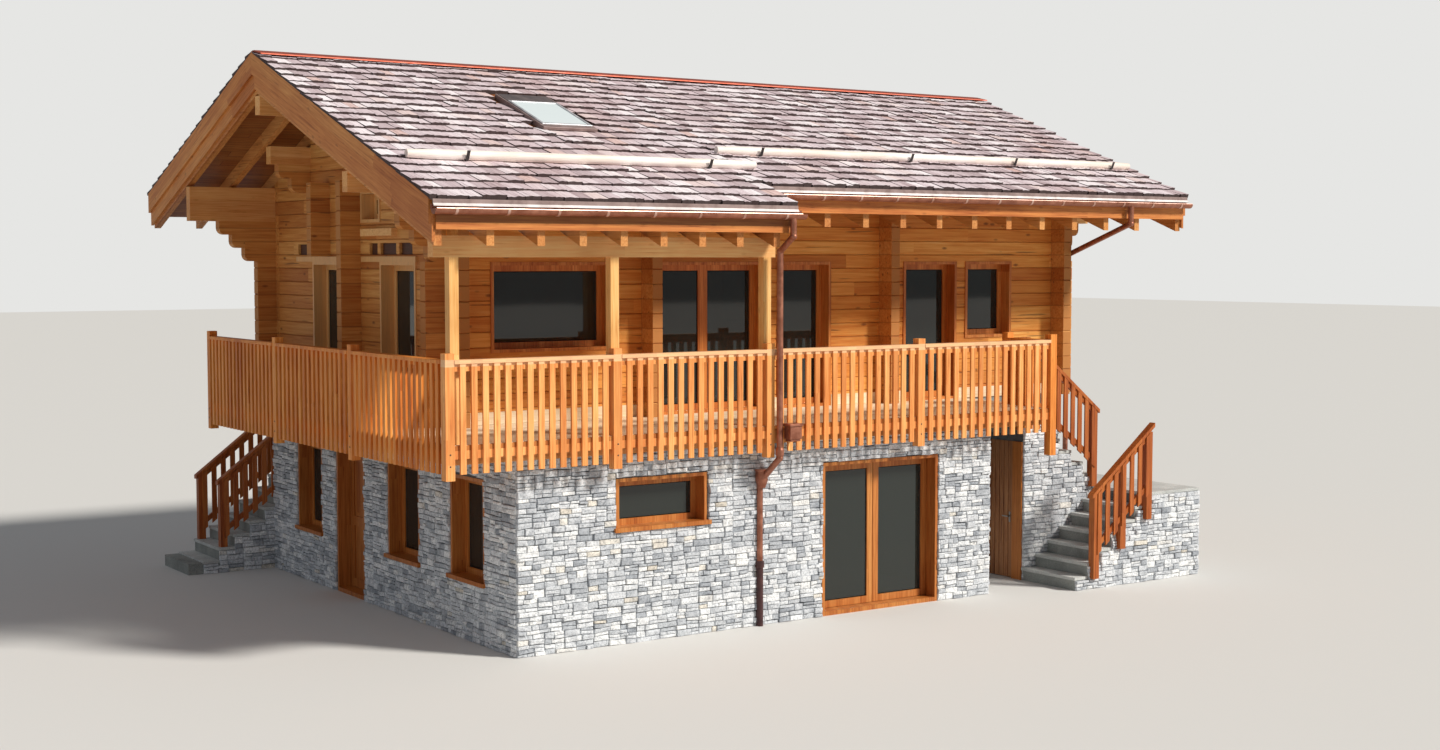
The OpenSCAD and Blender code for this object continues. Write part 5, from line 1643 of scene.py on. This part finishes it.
@dataclass
class Studio:
    """Floor, world, lamps and the camera at the photograph's angle.

    Attributes:
        eye: Place of the camera.
        yaw: Its turn from +Y towards +X, in degrees.
        tilt: Its tilt upwards, in degrees.
        lens: Focal length over a 36 mm wide frame.
        key_place: Where the broad soft key stands.
        key_power: Its strength.
        key_angle: How wide it looks, in degrees.
        fill_place: Where the cool fill hangs.
        fill_size: Its width.
        fill_power: Its power in watts.
        ambient: Strength of the even light from all round.
        floor_half: Half the width of the floor.
    """

    eye: Vec = (-15.834, -24.401, 4.90)
    yaw: float = 34.338
    tilt: float = -3.63
    lens: float = 46.0
    key_place: Vec = (19.5, -25.0, 23.5)
    key_power: float = 4.2
    key_angle: float = 9.0
    fill_place: Vec = (-26.0, -8.0, 14.0)
    fill_size: float = 18.0
    fill_power: float = 310.0
    ambient: float = 0.27
    floor_half: float = 150.0

    def build(self) -> None:
        """Sets up everything that isn't part of the house."""
        scene = bpy.context.scene
        scene.view_settings.view_transform = "Standard"
        self.floor()
        self.world()
        key = bpy.data.lights.new("key", "SUN")
        key.angle = math.radians(self.key_angle)
        self.hang(key, self.key_power, "#fffaf2", self.key_place, (0.0, 0.0, 0.0))
        fill = bpy.data.lights.new("fill", "AREA")
        fill.shape = "SQUARE"
        fill.size = self.fill_size
        self.hang(fill, self.fill_power, "#eaf1ff", self.fill_place, (0.0, 0.0, 3.0))
        camera = bpy.data.cameras.new("camera")
        camera.lens = self.lens
        camera.sensor_width = 36.0
        camera.clip_end = 500.0
        yaw, tilt = math.radians(self.yaw), math.radians(self.tilt)
        level = math.cos(tilt)
        look = Vector((math.sin(yaw) * level, math.cos(yaw) * level, math.sin(tilt)))
        scene.camera = self.aimed(camera, self.eye, look)

    def aimed(self, data: bpy.types.ID, place: Vec, look: Vector) -> bpy.types.Object:
        """Puts a lamp or a camera at its place and turns it along a direction."""
        holder = bpy.data.objects.new(data.name, data)
        bpy.context.scene.collection.objects.link(holder)
        holder.location = place
        holder.rotation_euler = look.to_track_quat("-Z", "Y").to_euler()
        return holder

    def hang(self, light: bpy.types.Light, power: float, colour: str, place: Vec,
             target: Vec) -> None:
        """Sets a lamp's power and colour and aims it at a place."""
        light.energy = power
        light.color = linear(colour)[:3]
        self.aimed(light, place, Vector(target) - Vector(place))

    def floor(self) -> None:
        """Lays a wide pale floor."""
        mesh = bpy.data.meshes.new("studio_floor")
        half = self.floor_half
        mesh.from_pydata([(-half, -half, 0.0), (half, -half, 0.0), (half, half, 0.0),
                          (-half, half, 0.0)], [], [(0, 1, 2, 3)])
        floor = bpy.data.objects.new("studio_floor", mesh)
        bpy.context.scene.collection.objects.link(floor)
        material, tree, shader = fresh_material("pale_floor")
        set_inputs(tree, shader, {"Base Color": linear("#d8d7d4"), "Roughness": 0.9})
        mesh.materials.append(material)

    def world(self) -> None:
        """Lights the scene evenly and shows a pale background."""
        world = bpy.data.worlds.new("studio")
        bpy.context.scene.world = world
        world.use_nodes = True
        tree = world.node_tree
        tree.nodes.clear()
        rays = add_node(tree, "LightPath").outputs
        shown = add_node(tree, "Math", {0: rays["Is Camera Ray"], 1: rays["Is Transmission Ray"]},
                         operation="MAXIMUM")
        soft = add_node(tree, "Background", {"Color": linear("#eef2f8"), "Strength": self.ambient})
        pale = add_node(tree, "Background", {"Color": linear("#e6e6e4"), "Strength": 1.0})
        mixed = add_node(tree, "MixShader", {0: shown, 1: soft, 2: pale})
        add_node(tree, "OutputWorld", {0: mixed})


def stone_faces() -> list[StoneFace]:
    """Lists every plane of masonry with the openings in it."""
    proud = 0.02
    ledge, low_z = 0.01, LANDING_Z - SLAB
    # Holes are given as first and last width, then foot and head
    front_holes = ((1.402 + proud - 0.012, 2.786 + proud + 0.012, 1.435, 2.13),
                   (4.688 + proud - 0.004, 6.758 + proud + 0.004, 0.0, 2.117))
    left_holes = tuple((HOUSE_D - b - ledge, HOUSE_D - a + ledge, low, 2.125) for a, b, low in (
        (0.846, 1.813, 0.745), (2.754, 3.775, 0.745), (4.590, 5.590, 0.0), (6.132, 7.094, 0.745)))
    stepped = tuple((TREAD * (6 - i), 1.5, LANDING_Z + i * RISER - 0.04, 3.0) for i in range(1, 7))
    flight = tuple((0.0, TREAD * (i + 1), RISER * (i + 1) - SLAB, 2.0) for i in range(6))
    behind = tuple((TREAD * k, TREAD * (k + 1), 0.0, (13 - k) * RISER + ledge) for k in range(6))
    behind += ((1.5, HOUSE_W - FLIGHT_X, 0.0, LANDING_Z + ledge),)
    climb = tuple((0.0, TREAD * (i + 1), RISER * (i + 1) - SLAB, 3.0) for i in range(13))
    long = REAR_X[1] - REAR_X[0]
    climb_back = tuple((long - right, long, low, high) for _, right, low, high in climb)
    rear_y, rear_z = HOUSE_D + ledge, DECK_Z - SLAB
    front, left, right, rear = Facing.FRONT, Facing.LEFT, Facing.RIGHT, Facing.REAR
    rows = (
        ("front", (-proud, 0.0, 0.0), front, FRONT_W + proud, WALL_TOP, front_holes),
        ("left", (0.0, HOUSE_D, 0.0), left, HOUSE_D, WALL_TOP, left_holes),
        ("rear", (HOUSE_W, HOUSE_D, 0.0), rear, HOUSE_W, WALL_TOP,
         ((HOUSE_W - REAR_X[1], HOUSE_W, 0.0, 2.6),)),
        ("right", (HOUSE_W, SET_BACK, 0.0), right, HOUSE_D - SET_BACK, WALL_TOP),
        ("porch_side", (FRONT_W, 0.0, 0.0), right, SET_BACK, WALL_TOP),
        ("porch_back", (FRONT_W, SET_BACK, 0.0), front, 1.2, WALL_TOP),
        ("store_front", (FLIGHT_X, 0.55, 0.0), front, 1.5, 2.48, stepped),
        ("flight_side", (FLIGHT_X, -0.57, 0.0), front, 1.5, 6 * RISER, flight),
        ("landing", (LANDING_X, -0.57, 0.0), front, 1.15, low_z),
        ("rear_stair_front", (REAR_X[0], rear_y, 0.0), front, 1.16, 2.5, climb),
        ("rear_stair", (REAR_X[1], 9.26, 0.0), rear, long, rear_z, climb_back),
        ("rear_landing", (REAR_X[1], rear_y, 0.0), right, 1.15, rear_z),
        ("landing_right", (11.6, -0.57, 0.0), right, 2.47, low_z),
        ("stair_back", (FLIGHT_X, SET_BACK, 0.0), front, HOUSE_W - FLIGHT_X, WALL_TOP, behind),
    )
    return [StoneFace("stones_" + name, *rest) for name, *rest in rows]


def main() -> None:
    """Builds every sub-assembly in order."""
    logging.basicConfig(level=logging.INFO, format="%(name)s: %(message)s")
    pieces = Pieces()
    Studio().build()
    StoneFacing().build(pieces, stone_faces())
    pieces.dress(BEDDING, "front_walls", "side_walls", "rear_wall", "right_walls",
                 "porch_back_wall", "lintels", "stair_landing", "store_front_wall",
                 "store_door_wall")
    LogStorey().build(pieces)
    ShingleRoof().build(pieces)
    Eaves().build(pieces)
    Skylight().build(pieces)
    Balcony().build(pieces)
    Stairs().build(pieces)
    Joinery().build(pieces)
    pieces.clear_blanks()


if __name__ == "__main__":
    main()
